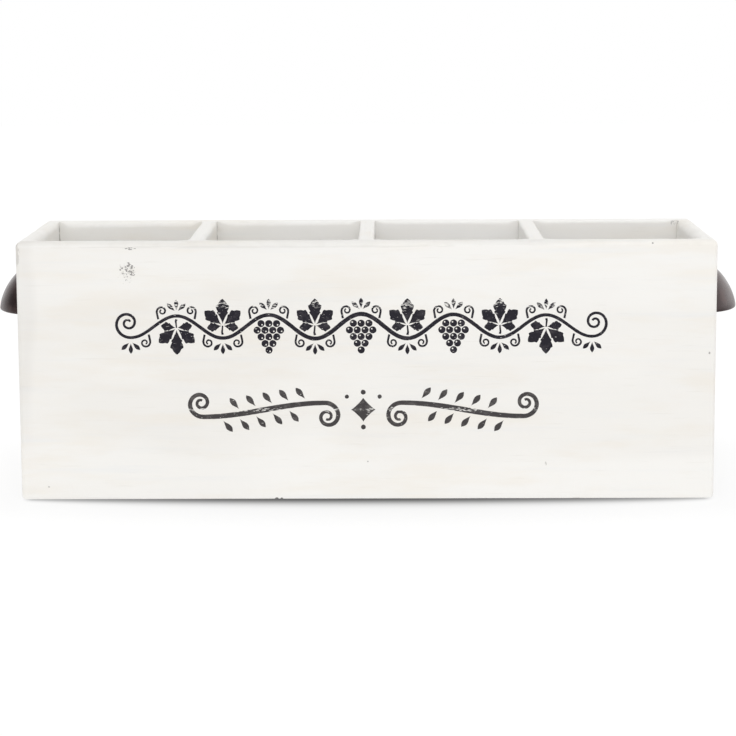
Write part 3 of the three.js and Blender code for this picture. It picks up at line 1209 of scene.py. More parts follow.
@dataclass
class CupHandle:
    """A pressed sheet cup handle: a half dome open at its foot, with a screwed ear at each end.

    It is drawn in millimetres with its back at x = 0, its foot at z = 0 and its bulge towards +X.
    """

    node: str
    sheet: float = 1.2
    ear_reach: float = 9.0
    ear_width: float = 10.0
    ear_foot: float = 3.0
    foot_arch: float = 0.8
    plan_power: float = 1.65
    side_power: float = 1.6
    lip: float = 0.5
    hole_radius: float = 1.45
    seat_radius: float = 2.75
    ear_root: float = 0.85
    ear_bevel: float = 0.3
    wall_gap: float = 0.05
    columns: int = 108
    rows: int = 40
    lip_steps: int = 6
    ear_columns: int = 72
    bevel_share: float = 0.3
    seat_break: float = 0.15
    settling: int = 8
    crease_angle: float = 32.0

    def __post_init__(self) -> None:
        """Takes the handle's sizes and place from its node."""
        low, high = corners(self.node)
        self.side = 1 if low.x > 0 else -1
        self.wall = CupHandle.wall_of(self.side)
        self.reach = max(abs(low.x), abs(high.x)) - abs(self.wall) - self.wall_gap
        self.half_length = high.y - self.ear_reach
        self.foot = low.z
        self.rise = high.z - low.z

    @staticmethod
    def wall_of(side: int) -> float:
        """Where the outer face of an end panel is."""
        low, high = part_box("right_end_panel" if side > 0 else "left_end_panel")
        return (high.x if side > 0 else low.x) / MM

    @property
    def screw_spot(self) -> Flat:
        """The middle of a screw hole, along and above the foot."""
        return self.half_length + self.ear_reach - self.ear_width / 2, self.ear_foot + self.ear_width / 2

    def foot_height(self, along: float) -> float:
        """How high the gently arched foot is at a place along the handle."""
        return self.foot_arch * (along / (self.half_length + self.ear_reach)) ** 2

    @staticmethod
    def oval(angle: float, power: float) -> float:
        """The radius at an angle of an oval that is 1 long and 1 wide, a circle where the power is 2."""
        return (abs(math.cos(angle)) ** power + abs(math.sin(angle)) ** power) ** (-1 / power)

    def bulge(self, turn: float, climb: float) -> float:
        """How full the dome is, an ellipse along the wall and a little pointed straight out from it."""
        return self.oval(climb, 2 - (2 - self.side_power) * math.cos(turn) ** 2)

    def dome_point(self, inset: float, turn: float, climb: float) -> Vector:
        """A point of the dome.

        Args:
            inset: How far the skin lies inside the outer one.
            turn: The angle round the upright axis, 0 straight out from the wall.
            climb: The angle above the foot.

        Returns:
            The point.
        """
        bulge = self.bulge(turn, climb)
        level = math.cos(climb) * bulge * self.oval(turn, self.plan_power)
        return Vector((
            (self.reach - inset) * level * math.cos(turn),
            (self.half_length - inset) * level * math.sin(turn),
            (self.rise - inset) * math.sin(climb) * bulge,
        ))

    def foot_climb(self, inset: float, turn: float) -> float:
        """The angle at which a skin of the dome ends, just above the lip.

        Args:
            inset: How far the skin lies inside the outer one.
            turn: The angle round the upright axis.

        Returns:
            The angle above the level.
        """
        climb = 0.0
        for _ in range(self.settling):
            along = self.dome_point(inset, turn, climb).y
            rise = (self.rise - inset) * self.bulge(turn, climb)
            climb = math.asin((self.foot_height(along) + self.lip) / rise)
        return climb

    def column(self, turn: float) -> list[Vector]:
        """One upright line of the sheet, down the outside, round the lip and up the inside.

        Args:
            turn: The line's angle round the upright axis.

        Returns:
            The points, without the two poles at the top.
        """
        skins = []
        for inset in (0.0, self.sheet):
            foot = self.foot_climb(inset, turn)
            drop = math.pi / 2 - foot
            climbs = [math.pi / 2 - row / self.rows * drop for row in range(1, self.rows + 1)]
            skins.append([self.dome_point(inset, turn, climb) for climb in climbs])
        outer, inner = skins
        middle = (outer[-1] + inner[-1]) / 2
        arm = (outer[-1] - inner[-1]) / 2
        lip = []
        for step in range(1, self.lip_steps):
            angle = math.pi * step / self.lip_steps
            lip.append(middle + arm * math.cos(angle) - Vector((0, 0, self.lip * math.sin(angle))))
        return [*outer, *lip, *reversed(inner)]

    def dome(self) -> BMesh:
        """The closed half dome.

        Returns:
            The shape, in millimetres.
        """
        shape = bmesh.new()
        poles = [shape.verts.new((0, 0, self.rise)), shape.verts.new((0, 0, self.rise - self.sheet))]
        turns = [math.pi * (step / self.columns - 0.5) for step in range(self.columns + 1)]
        lines = [[shape.verts.new(point) for point in self.column(turn)] for turn in turns]
        for here, there in zip(lines, lines[1:]):
            for index in range(1, len(here)):
                shape.faces.new((here[index - 1], here[index], there[index], there[index - 1]))
            shape.faces.new((poles[0], here[0], there[0]))
            shape.faces.new((poles[1], there[-1], here[-1]))
        for line in (lines[0], lines[-1]):
            for index in range(1, self.rows):
                shape.faces.new((line[index - 1], line[index], line[-1 - index], line[-index]))
            shape.faces.new(line[self.rows - 1:len(line) - self.rows + 1])
            shape.faces.new((poles[0], line[0], line[-1], poles[1]))
        return shape

    def ear_edge(self, angle: float) -> float:
        """How far an ear goes from its screw at an angle, ending in the thickness of the dome's sheet.

        Args:
            angle: The angle from the handle's length, outwards.

        Returns:
            The distance.
        """
        half = self.ear_width / 2
        away, up = math.cos(angle), math.sin(angle)
        if away >= 0:
            return half
        reach = half / abs(up) if up else math.inf
        along, height = self.screw_spot
        wide, tall = self.half_length - self.ear_root, self.rise - self.ear_root
        square = (away / wide) ** 2 + (up / tall) ** 2
        linear = 2 * (along * away / wide**2 + height * up / tall**2)
        rest = (along / wide) ** 2 + (height / tall) ** 2 - 1
        inside = linear**2 - 4 * square * rest
        if inside > 0:
            meeting = (-linear - math.sqrt(inside)) / (2 * square)
            if meeting > 0:
                reach = min(reach, meeting)
        return reach

    def ear(self, end: int) -> BMesh:
        """One ear, a plate with a countersunk hole.

        Args:
            end: 1 or -1, the end of the handle.

        Returns:
            The shape, in millimetres.
        """
        shape = bmesh.new()
        along, height = self.screw_spot
        rings = []
        for step in range(self.ear_columns):
            angle = 2 * math.pi * step / self.ear_columns
            away, up = math.cos(angle), math.sin(angle)
            edge = self.ear_edge(angle)
            eased = self.bevel_share * self.ear_bevel
            profile = [
                (0.0, self.hole_radius),
                (0.0, edge),
                (self.sheet - self.ear_bevel, edge),
                (self.sheet - eased, edge - eased),
                (self.sheet, edge - self.ear_bevel),
                (self.sheet, self.seat_radius + self.seat_break),
                (self.sheet - self.seat_break, self.seat_radius),
            ]
            rings.append([
                shape.verts.new((out, end * (along + radius * away), height + radius * up))
                for out, radius in profile
            ])
        for step, here in enumerate(rings):
            before = rings[step - 1]
            for index in range(len(here)):
                shape.faces.new((before[index - 1], before[index], here[index], here[index - 1]))
        return shape

    def sheet_mesh(self) -> Mesh:
        """The whole pressing, its ears joined to the dome.

        Returns:
            The mesh, in millimetres.
        """
        body = add_piece("handle_dome", mesh_from("handle_dome", self.dome(), self.crease_angle))
        for end in (-1, 1):
            ear = add_piece("handle_ear", mesh_from("handle_ear", self.ear(end), self.crease_angle))
            union = body.modifiers.new("ear", "BOOLEAN")
            union.operation = "UNION"
            union.solver = "MANIFOLD"
            union.object = ear
            joined = evaluated_mesh(body)
            body.modifiers.remove(union)
            body.data = joined
            discard(ear)
        mesh = body.data
        bpy.data.objects.remove(body)
        return mesh

    def build(self, bronze: Material) -> Object:
        """Builds the handle in its place.

        Args:
            bronze: The handle's material.

        Returns:
            The handle, standing for its node.
        """
        mesh = self.sheet_mesh()
        mesh.name = self.node
        rub = mesh.attributes.new("edge", "FLOAT", "POINT")
        for vertex, value in zip(mesh.vertices, rub.data):
            above = vertex.co.z - self.foot_height(vertex.co.y)
            value.value = 1 - ease(above / (2 * self.sheet))
        turn = Matrix.Rotation(0.0 if self.side > 0 else math.pi, 4, "Z")
        stand = Vector((self.wall + self.side * self.wall_gap, 0.0, self.foot))
        mesh.transform(Matrix.Scale(MM, 4) @ Matrix.Translation(stand) @ turn)
        crease(mesh, self.crease_angle)
        mesh.materials.clear()
        mesh.materials.append(bronze)
        return carry(add_piece(f"bronze_{self.node}", mesh), "dark_bronze", self.node)


# Geometry Nodes

class GrowthTree:
    """A Geometry Nodes tree with named inputs, run on a piece and turned into a plain mesh."""

    KINDS = {
        float: "NodeSocketFloat",
        tuple: "NodeSocketVector",
        Material: "NodeSocketMaterial",
        Object: "NodeSocketObject",
    }

    def __init__(self, name: str, inputs: dict[str, type]) -> None:
        """Makes the tree and its sockets.

        Args:
            name: The tree's name.
            inputs: The kind of each input by its name, beside the geometry.
        """
        self.tree = bpy.data.node_groups.new(name, "GeometryNodeTree")
        face = self.tree.interface
        face.new_socket("Geometry", in_out="INPUT", socket_type="NodeSocketGeometry")
        face.new_socket("Geometry", in_out="OUTPUT", socket_type="NodeSocketGeometry")
        self.keys = {}
        for label, kind in inputs.items():
            socket = face.new_socket(label, in_out="INPUT", socket_type=self.KINDS[kind])
            self.keys[label] = socket.identifier
        self.sheet = NodeSheet(self.tree)
        self.given = self.sheet.add("NodeGroupInput").outputs
        self.result = self.sheet.add("NodeGroupOutput").inputs

    def attribute(self, name: str, kind: str = "FLOAT") -> NodeSocket:
        """The value of a named attribute."""
        return self.sheet.out("GeometryNodeInputNamedAttribute", {"Name": name}, data_type=kind)

    def finish(self, shapes: NodeSocket) -> None:
        """Ends the tree with real shapes in its material.

        Args:
            shapes: The shapes or their instances.
        """
        real = self.sheet.out("GeometryNodeRealizeInstances", {"Geometry": shapes})
        feeds = {"Geometry": real, "Material": self.given["Material"]}
        self.sheet.feed(self.result["Geometry"], self.sheet.out("GeometryNodeSetMaterial", feeds))

    def run(self, piece: Object, values: dict[str, Any]) -> Mesh:
        """Runs the tree on a helper object, which is then discarded.

        Args:
            piece: The object that holds the points or lines.
            values: The inputs' values by name.

        Returns:
            The plain mesh.
        """
        growth = piece.modifiers.new(self.tree.name, "NODES")
        growth.node_group = self.tree
        for label, value in values.items():
            growth[self.keys[label]] = value
        mesh = evaluated_mesh(piece)
        piece.modifiers.remove(growth)
        discard(piece)
        return mesh


def helper_piece(name: str, points: Sequence, edges: Sequence = (), **values: Sequence) -> Object:
    """A helper object of points, or of lines, with values on its points.

    Args:
        name: The object's name.
        points: The points, in metres.
        edges: The pairs of points that a line joins.
        **values: A list of numbers or vectors for the points, by attribute name.

    Returns:
        The object.
    """
    mesh = bpy.data.meshes.new(name)
    mesh.from_pydata([tuple(point) for point in points], edges, [])
    for label, numbers in values.items():
        if isinstance(numbers[0], float):
            mesh.attributes.new(label, "FLOAT", "POINT").data.foreach_set("value", numbers)
        else:
            layer = mesh.attributes.new(label, "FLOAT_VECTOR", "POINT")
            layer.data.foreach_set("vector", [part for vector in numbers for part in vector])
    return add_piece(name, mesh)


# Handle screws

@dataclass
class HandleScrews:
    """The slotted countersunk screws of both handles, in millimetres."""

    nodes: tuple[str, ...] = (
        "left_handle_front_screw",
        "left_handle_back_screw",
        "right_handle_front_screw",
        "right_handle_back_screw",
    )
    head_radius: float = 2.5
    shank_radius: float = 1.2
    head_depth: float = 1.2
    crown: float = 0.38
    slot_width: float = 0.8
    slot_depth: float = 0.75
    wall_gap: float = 0.05
    seed: int = 4
    sides: int = 48
    rings: int = 24
    crown_share: float = 0.96
    bar_share: float = 3.0
    crease_angle: float = 30.0

    def tree(self) -> GrowthTree:
        """The tree that turns each point into a screw head.

        Returns:
            The tree, with the head's sizes as inputs.
        """
        growth = GrowthTree("countersunk_screws", {
            "Head Radius": float, "Shank Radius": float, "Head Depth": float, "Crown": float,
            "Slot Width": float, "Slot Depth": float, "Material": Material,
        })
        sheet, given = growth.sheet, growth.given
        cone = sheet.out("GeometryNodeMeshCone", {
            "Vertices": self.sides, "Radius Top": given["Head Radius"],
            "Radius Bottom": given["Shank Radius"], "Depth": given["Head Depth"],
        })
        round_head = {"Segments": self.sides, "Rings": self.rings, "Radius": 1.0}
        ball = sheet.out("GeometryNodeMeshUVSphere", round_head)
        wide = sheet.maths("MULTIPLY", given["Head Radius"], self.crown_share)
        top = sheet.triple(z=given["Head Depth"])
        flat = sheet.triple(wide, wide, given["Crown"])
        crown = sheet.out("GeometryNodeTransform", {"Geometry": ball, "Translation": top, "Scale": flat})
        head = sheet.add("GeometryNodeMeshBoolean", operation="UNION", solver="EXACT")
        sheet.feed(head.inputs["Mesh 2"], cone)
        sheet.feed(head.inputs["Mesh 2"], crown)
        length = sheet.maths("MULTIPLY", given["Head Radius"], self.bar_share)
        depth = sheet.maths("ADD", given["Slot Depth"], given["Slot Depth"])
        size = sheet.triple(given["Slot Width"], length, depth)
        bar = sheet.out("GeometryNodeMeshCube", {"Size": size})
        peak = sheet.triple(z=sheet.maths("ADD", given["Head Depth"], given["Crown"]))
        slot = sheet.out("GeometryNodeTransform", {"Geometry": bar, "Translation": peak})
        slotted = sheet.add(
            "GeometryNodeMeshBoolean", {"Mesh 1": head.outputs[0]}, operation="DIFFERENCE", solver="EXACT"
        )
        sheet.feed(slotted.inputs["Mesh 2"], slot)
        outward = growth.attribute("outward", "FLOAT_VECTOR")
        facing = sheet.out("FunctionNodeAlignRotationToVector", {"Vector": outward}, axis="Z")
        angle = sheet.add("FunctionNodeRandomValue", {"Seed": self.seed})
        sheet.feed(angle.inputs[3], math.pi)
        spin = sheet.out("FunctionNodeEulerToRotation", {"Euler": sheet.triple(z=angle.outputs[1])})
        turns = {"Rotation": facing, "Rotate By": spin}
        driven = sheet.out("FunctionNodeRotateRotation", turns, rotation_space="LOCAL")
        growth.finish(sheet.out("GeometryNodeInstanceOnPoints", {
            "Points": given["Geometry"], "Instance": slotted.outputs[0], "Rotation": driven,
        }))
        return growth

    def build(self, metal: Material) -> Object:
        """Builds the screw heads in their holes.

        Args:
            metal: The screws' material.

        Returns:
            The heads as one piece, standing for the four nodes.
        """
        spots, ways = [], []
        for node in self.nodes:
            low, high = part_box(node)
            middle = (low + high) / 2
            side = 1 if middle.x > 0 else -1
            wall = CupHandle.wall_of(side) + side * self.wall_gap
            spots.append(Vector((wall * MM, middle.y, middle.z)))
            ways.append((float(side), 0.0, 0.0))
        piece = helper_piece("screw_spots", spots, outward=ways)
        mesh = self.tree().run(piece, {
            "Head Radius": self.head_radius * MM,
            "Shank Radius": self.shank_radius * MM,
            "Head Depth": self.head_depth * MM,
            "Crown": self.crown * MM,
            "Slot Width": self.slot_width * MM,
            "Slot Depth": self.slot_depth * MM,
            "Material": metal,
        })
        crease(mesh, self.crease_angle)
        return carry(add_piece("bronze_handle_screws", mesh), "screw_steel", *self.nodes)


# Stencilled front

class Motif(Enum):
    """The shapes that are dabbed through the stencil."""

    LEAF = "leaf"
    DROP = "drop"
    BERRY = "berry"
    DOT = "dot"
    LOZENGE = "lozenge"


@dataclass(frozen=True)
class Stamp:
    """One motif: its place from the print's middle, its turn in radians and its size in millimetres."""

    motif: Motif
    right: float
    up: float
    turn: float
    size: float

    def mirrored(self) -> "Stamp":
        """The same motif on the other side of the middle."""
        return Stamp(self.motif, -self.right, self.up, math.pi - self.turn, self.size)


@dataclass(frozen=True)
class Stroke:
    """One drawn line of the print: its points and its half width at each, in millimetres."""

    points: tuple[Flat, ...]
    half_widths: tuple[float, ...]

    def mirrored(self) -> "Stroke":
        """The same line on the other side of the middle."""
        return Stroke(tuple((-right, up) for right, up in self.points), self.half_widths)


def spiral(start: Flat, heading: float, radius: float, last: float, turns: float, way: int) -> list[Flat]:
    """A line that winds up from one radius to a smaller one.

    Args:
        start: Where it starts.
        heading: The angle in which it starts, in radians.
        radius: Its first radius.
        last: Its last radius.
        turns: How often it goes round.
        way: 1 to turn left and -1 to turn right.

    Returns:
        Its points, with the start.
    """
    whole = 2 * math.pi * turns
    shrink = math.log(radius / last) / whole
    first = heading - way * (math.pi / 2 + math.atan(shrink))
    middle = Vector(start) - radius * aim(first)
    steps = math.ceil(TURN_STEPS * turns)
    points = []
    for step in range(steps + 1):
        wound = whole * step / steps
        spot = middle + radius * math.exp(-shrink * wound) * aim(first + way * wound)
        points.append((spot.x, spot.y))
    return points


def tapered(points: Sequence[Flat], first: float, last: float) -> Stroke:
    """A line whose half width goes evenly from the first value to the last."""
    final = len(points) - 1
    return Stroke(tuple(points), tuple(first + (last - first) * i / final for i in range(final + 1)))


def swelled(points: Sequence[Flat], full: float, end: float) -> Stroke:
    """A line whose half width is full at its middle point and goes evenly to the end value both ways.

    Args:
        points: The line's points.
        full: The half width in the middle.
        end: The half width at both ends.

    Returns:
        The stroke.
    """
    last = len(points) // 2
    shares = [abs(i - last) / last for i in range(len(points))]
    return Stroke(tuple(points), tuple(full - (full - end) * share for share in shares))


@dataclass
class MotifShapes:
    """The outlines of the motifs, each one unit long or, for round ones, one unit in radius."""

    lobes: tuple[Size, ...] = (
        (0.0, 1.0, 0.46),
        (50.0, 0.86, 0.43), (-50.0, 0.86, 0.43),
        (98.0, 0.58, 0.32), (-98.0, 0.58, 0.32),
    )
    lobe_steps: int = 18
    teeth: float = 4.0
    round_steps: int = 28
    glint: Size = (-0.30, 0.34, 0.22)
    stalk: float = 0.07
    fullness: float = 1.45
    tooth_start: float = 0.2
    leaf_notch: float = 0.34
    drop_width: float = 0.36
    lozenge_steps: int = 40
    lozenge_power: float = 2.3

    def lobe(self, turn: float, length: float, width: float, notch: float) -> list[Flat]:
        """The outline of one pointed lobe that starts at the origin.

        Args:
            turn: Its angle in degrees.
            length: Its length.
            width: Its width.
            notch: How deep the teeth of its rim are, as a share of its width.

        Returns:
            The outline's points.
        """
        edge = []
        for step in range(self.lobe_steps + 1):
            share = step / self.lobe_steps
            saw = share * self.teeth % 1.0
            toothed = 1 + notch * (saw - 0.5) * ease(share / self.tooth_start - 1)
            along = length * (self.stalk + (1 - self.stalk) * share)
            edge.append((along, width / 2 * math.sin(math.pi * share**self.fullness) * toothed))
        outline = [(along, -half) for along, half in edge[:-1]] + list(reversed(edge[1:]))
        away, up = math.cos(math.radians(turn)), math.sin(math.radians(turn))
        return [(along * away - half * up, along * up + half * away) for along, half in outline]

    def ring(self, right: float, up: float, radius: float) -> list[Flat]:
        """A circle's points."""
        angles = [2 * math.pi * step / self.round_steps for step in range(self.round_steps)]
        return [(right + radius * math.cos(angle), up + radius * math.sin(angle)) for angle in angles]

    def faces(self, motif: Motif) -> list[list[Flat]]:
        """The flat faces of a motif.

        Args:
            motif: The motif.

        Returns:
            A list of outlines.
        """
        if motif is Motif.LEAF:
            return [self.lobe(*lobe, notch=self.leaf_notch) for lobe in self.lobes]
        if motif is Motif.DROP:
            return [self.lobe(0.0, 1.0, self.drop_width, notch=0.0)]
        if motif is Motif.BERRY:
            rim, glint = self.ring(0, 0, 1.0), self.ring(*self.glint)
            return [[glint[i - 1], rim[i - 1], rim[i], glint[i]] for i in range(self.round_steps)]
        if motif is Motif.DOT:
            return [self.ring(0, 0, 1.0)]
        angles = [2 * math.pi * step / self.lozenge_steps for step in range(self.lozenge_steps)]
        return [[(self.pinched(math.cos(angle)), self.pinched(math.sin(angle))) for angle in angles]]

    def pinched(self, part: float) -> float:
        """One part of a circle's point, drawn in to make a lozenge."""
        return math.copysign(abs(part) ** self.lozenge_power, part)

    def template(self, motif: Motif) -> Object:
        """A helper object that holds one motif, one millimetre to a unit.

        Args:
            motif: The motif.

        Returns:
            The object.
        """
        shape = bmesh.new()
        for outline in self.faces(motif):
            shape.faces.new([shape.verts.new((right * MM, up * MM, 0.0)) for right, up in outline])
        bmesh.ops.remove_doubles(shape, verts=shape.verts, dist=MERGED)
        mesh = bpy.data.meshes.new(motif.value)
        shape.to_mesh(mesh)
        shape.free()
        return add_piece(f"{motif.value}_template", mesh)


FILM_INPUTS = {"Depth": float, "Roughness": float, "Grain": float, "Stand": tuple, "Material": Material}


@dataclass
class StencilPress:
    """Turns stamps and strokes into a thin film of paint on the front panel."""

    depth: float = 0.1
    roughness: float = 0.16
    grain: float = 1.1
    grain_detail: float = 2.0
    crease_angle: float = 40.0
    shapes: MotifShapes = field(default_factory=MotifShapes)

    def __post_init__(self) -> None:
        """Finds the panel's face and builds the trees once."""
        self.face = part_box("front_panel")[0].y / MM
        self.film = self.film_tree()
        self.stamps = self.stamp_tree()
        self.strokes = self.stroke_tree()

    def film_tree(self) -> GrowthTree:
        """The tree that roughens flat shapes, gives them a thickness and stands them up on the panel.

        Returns:
            The tree.
        """
        growth = GrowthTree("paint_film", FILM_INPUTS)
        sheet, given = growth.sheet, growth.given
        cloud = sheet.add("ShaderNodeTexNoise", {
            "Vector": sheet.out("GeometryNodeInputPosition"),
            "Scale": sheet.maths("DIVIDE", 1.0, given["Grain"]),
            "Detail": self.grain_detail,
        }).outputs["Color"]
        centred = sheet.vector("SUBTRACT", cloud, (0.5, 0.5, 0.5))
        level = sheet.vector("MULTIPLY", centred, (2.0, 2.0, 0.0))
        shift = sheet.scaled(level, given["Roughness"])
        rough = sheet.out("GeometryNodeSetPosition", {"Geometry": given["Geometry"], "Offset": shift})
        outward = sheet.triple(z=1.0)
        raised = sheet.out("GeometryNodeExtrudeMesh", {
            "Mesh": rough, "Offset": outward, "Offset Scale": given["Depth"], "Individual": False,
        })
        under = sheet.out("GeometryNodeFlipFaces", {"Mesh": rough})
        both = sheet.add("GeometryNodeJoinGeometry")
        sheet.feed(both.inputs[0], raised)
        sheet.feed(both.inputs[0], under)
        merged = {"Geometry": both.outputs[0], "Distance": MERGED}
        closed = sheet.out("GeometryNodeMergeByDistance", merged)
        upright = (math.pi / 2, 0.0, 0.0)
        growth.finish(sheet.out("GeometryNodeTransform", {
            "Geometry": closed, "Translation": given["Stand"], "Rotation": upright,
        }))
        return growth

    def end_in_film(self, growth: GrowthTree, flat: NodeSocket) -> None:
        """Passes a tree's flat shapes through the film tree.

        Args:
            growth: The tree, which has the film's inputs.
            flat: The flat shapes.
        """
        feeds = {label: growth.given[label] for label in FILM_INPUTS}
        growth.finish(growth.sheet.place(self.film.tree, {"Geometry": flat, **feeds}).outputs[0])

    def stamp_tree(self) -> GrowthTree:
        """The tree that dabs a motif on every point.

        Returns:
            The tree.
        """
        growth = GrowthTree("stencil_stamps", {"Motif": Object, **FILM_INPUTS})
        sheet, given = growth.sheet, growth.given
        motif = sheet.add("GeometryNodeObjectInfo", {"Object": given["Motif"]}).outputs["Geometry"]
        turn = sheet.triple(z=growth.attribute("turn"))
        dabs = sheet.out("GeometryNodeInstanceOnPoints", {
            "Points": given["Geometry"],
            "Instance": motif,
            "Rotation": sheet.out("FunctionNodeEulerToRotation", {"Euler": turn}),
            "Scale": growth.attribute("size"),
        })
        self.end_in_film(growth, sheet.out("GeometryNodeRealizeInstances", {"Geometry": dabs}))
        return growth

    def stroke_tree(self) -> GrowthTree:
        """The tree that widens lines into flat strokes.

        Returns:
            The tree.
        """
        growth = GrowthTree("stencil_strokes", FILM_INPUTS)
        sheet, given = growth.sheet, growth.given
        lines = sheet.out("GeometryNodeMeshToCurve", {"Mesh": given["Geometry"]})
        level = sheet.out("GeometryNodeSetCurveNormal", {"Curve": lines}, mode="Z_UP")
        ends = {"Start": (-1.0, 0.0, 0.0), "End": (1.0, 0.0, 0.0)}
        bar = sheet.out("GeometryNodeCurvePrimitiveLine", ends)
        self.end_in_film(growth, sheet.out("GeometryNodeCurveToMesh", {
            "Curve": level, "Profile Curve": bar, "Scale": growth.attribute("half_width"),
        }))
        return growth

    def press(self, name: str, middle: Flat, stamps: Sequence[Stamp], strokes: Sequence[Stroke],
              paint: Material) -> Object:
        """Presses one print.

        Args:
            name: The piece's name.
            middle: The print's middle on the panel, along and up.
            stamps: Its motifs.
            strokes: Its lines.
            paint: Its material.

        Returns:
            The print as one piece.
        """
        settings = {
            "Depth": self.depth * MM,
            "Roughness": self.roughness * MM,
            "Grain": self.grain * MM,
            "Stand": (middle[0] * MM, (self.face + self.depth) * MM, middle[1] * MM),
            "Material": paint,
        }
        meshes = [self.drawn_lines(strokes, settings)]
        for motif in Motif:
            chosen = [stamp for stamp in stamps if stamp.motif is motif]
            if not chosen:
                continue
            template = self.shapes.template(motif)
            spots = helper_piece(
                f"{motif.value}_spots",
                [Vector((stamp.right * MM, stamp.up * MM, 0.0)) for stamp in chosen],
                turn=[stamp.turn for stamp in chosen],
                size=[stamp.size for stamp in chosen],
            )
            meshes.append(self.stamps.run(spots, {"Motif": template, **settings}))
            discard(template)
        shape = bmesh.new()
        for mesh in meshes:
            shape.from_mesh(mesh)
            bpy.data.meshes.remove(mesh)
        joined = mesh_from(name, shape, self.crease_angle)
        joined.materials.append(paint)
        return carry(add_piece(name, joined), "stencil_paint")

    def drawn_lines(self, strokes: Sequence[Stroke], settings: dict[str, Any]) -> Mesh:
        """Widens the lines of a print.

        Args:
            strokes: The lines.
            settings: The film's inputs.

        Returns:
            The film of all the lines.
        """
        points, edges, widths = [], [], []
        for stroke in strokes:
            first = len(points)
            points += [(right * MM, up * MM, 0.0) for right, up in stroke.points]
            edges += [(first + i, first + i + 1) for i in range(len(stroke.points) - 1)]
            widths += [half * MM for half in stroke.half_widths]
        lines = helper_piece("print_lines", points, edges, half_width=widths)
        return self.strokes.run(lines, settings)


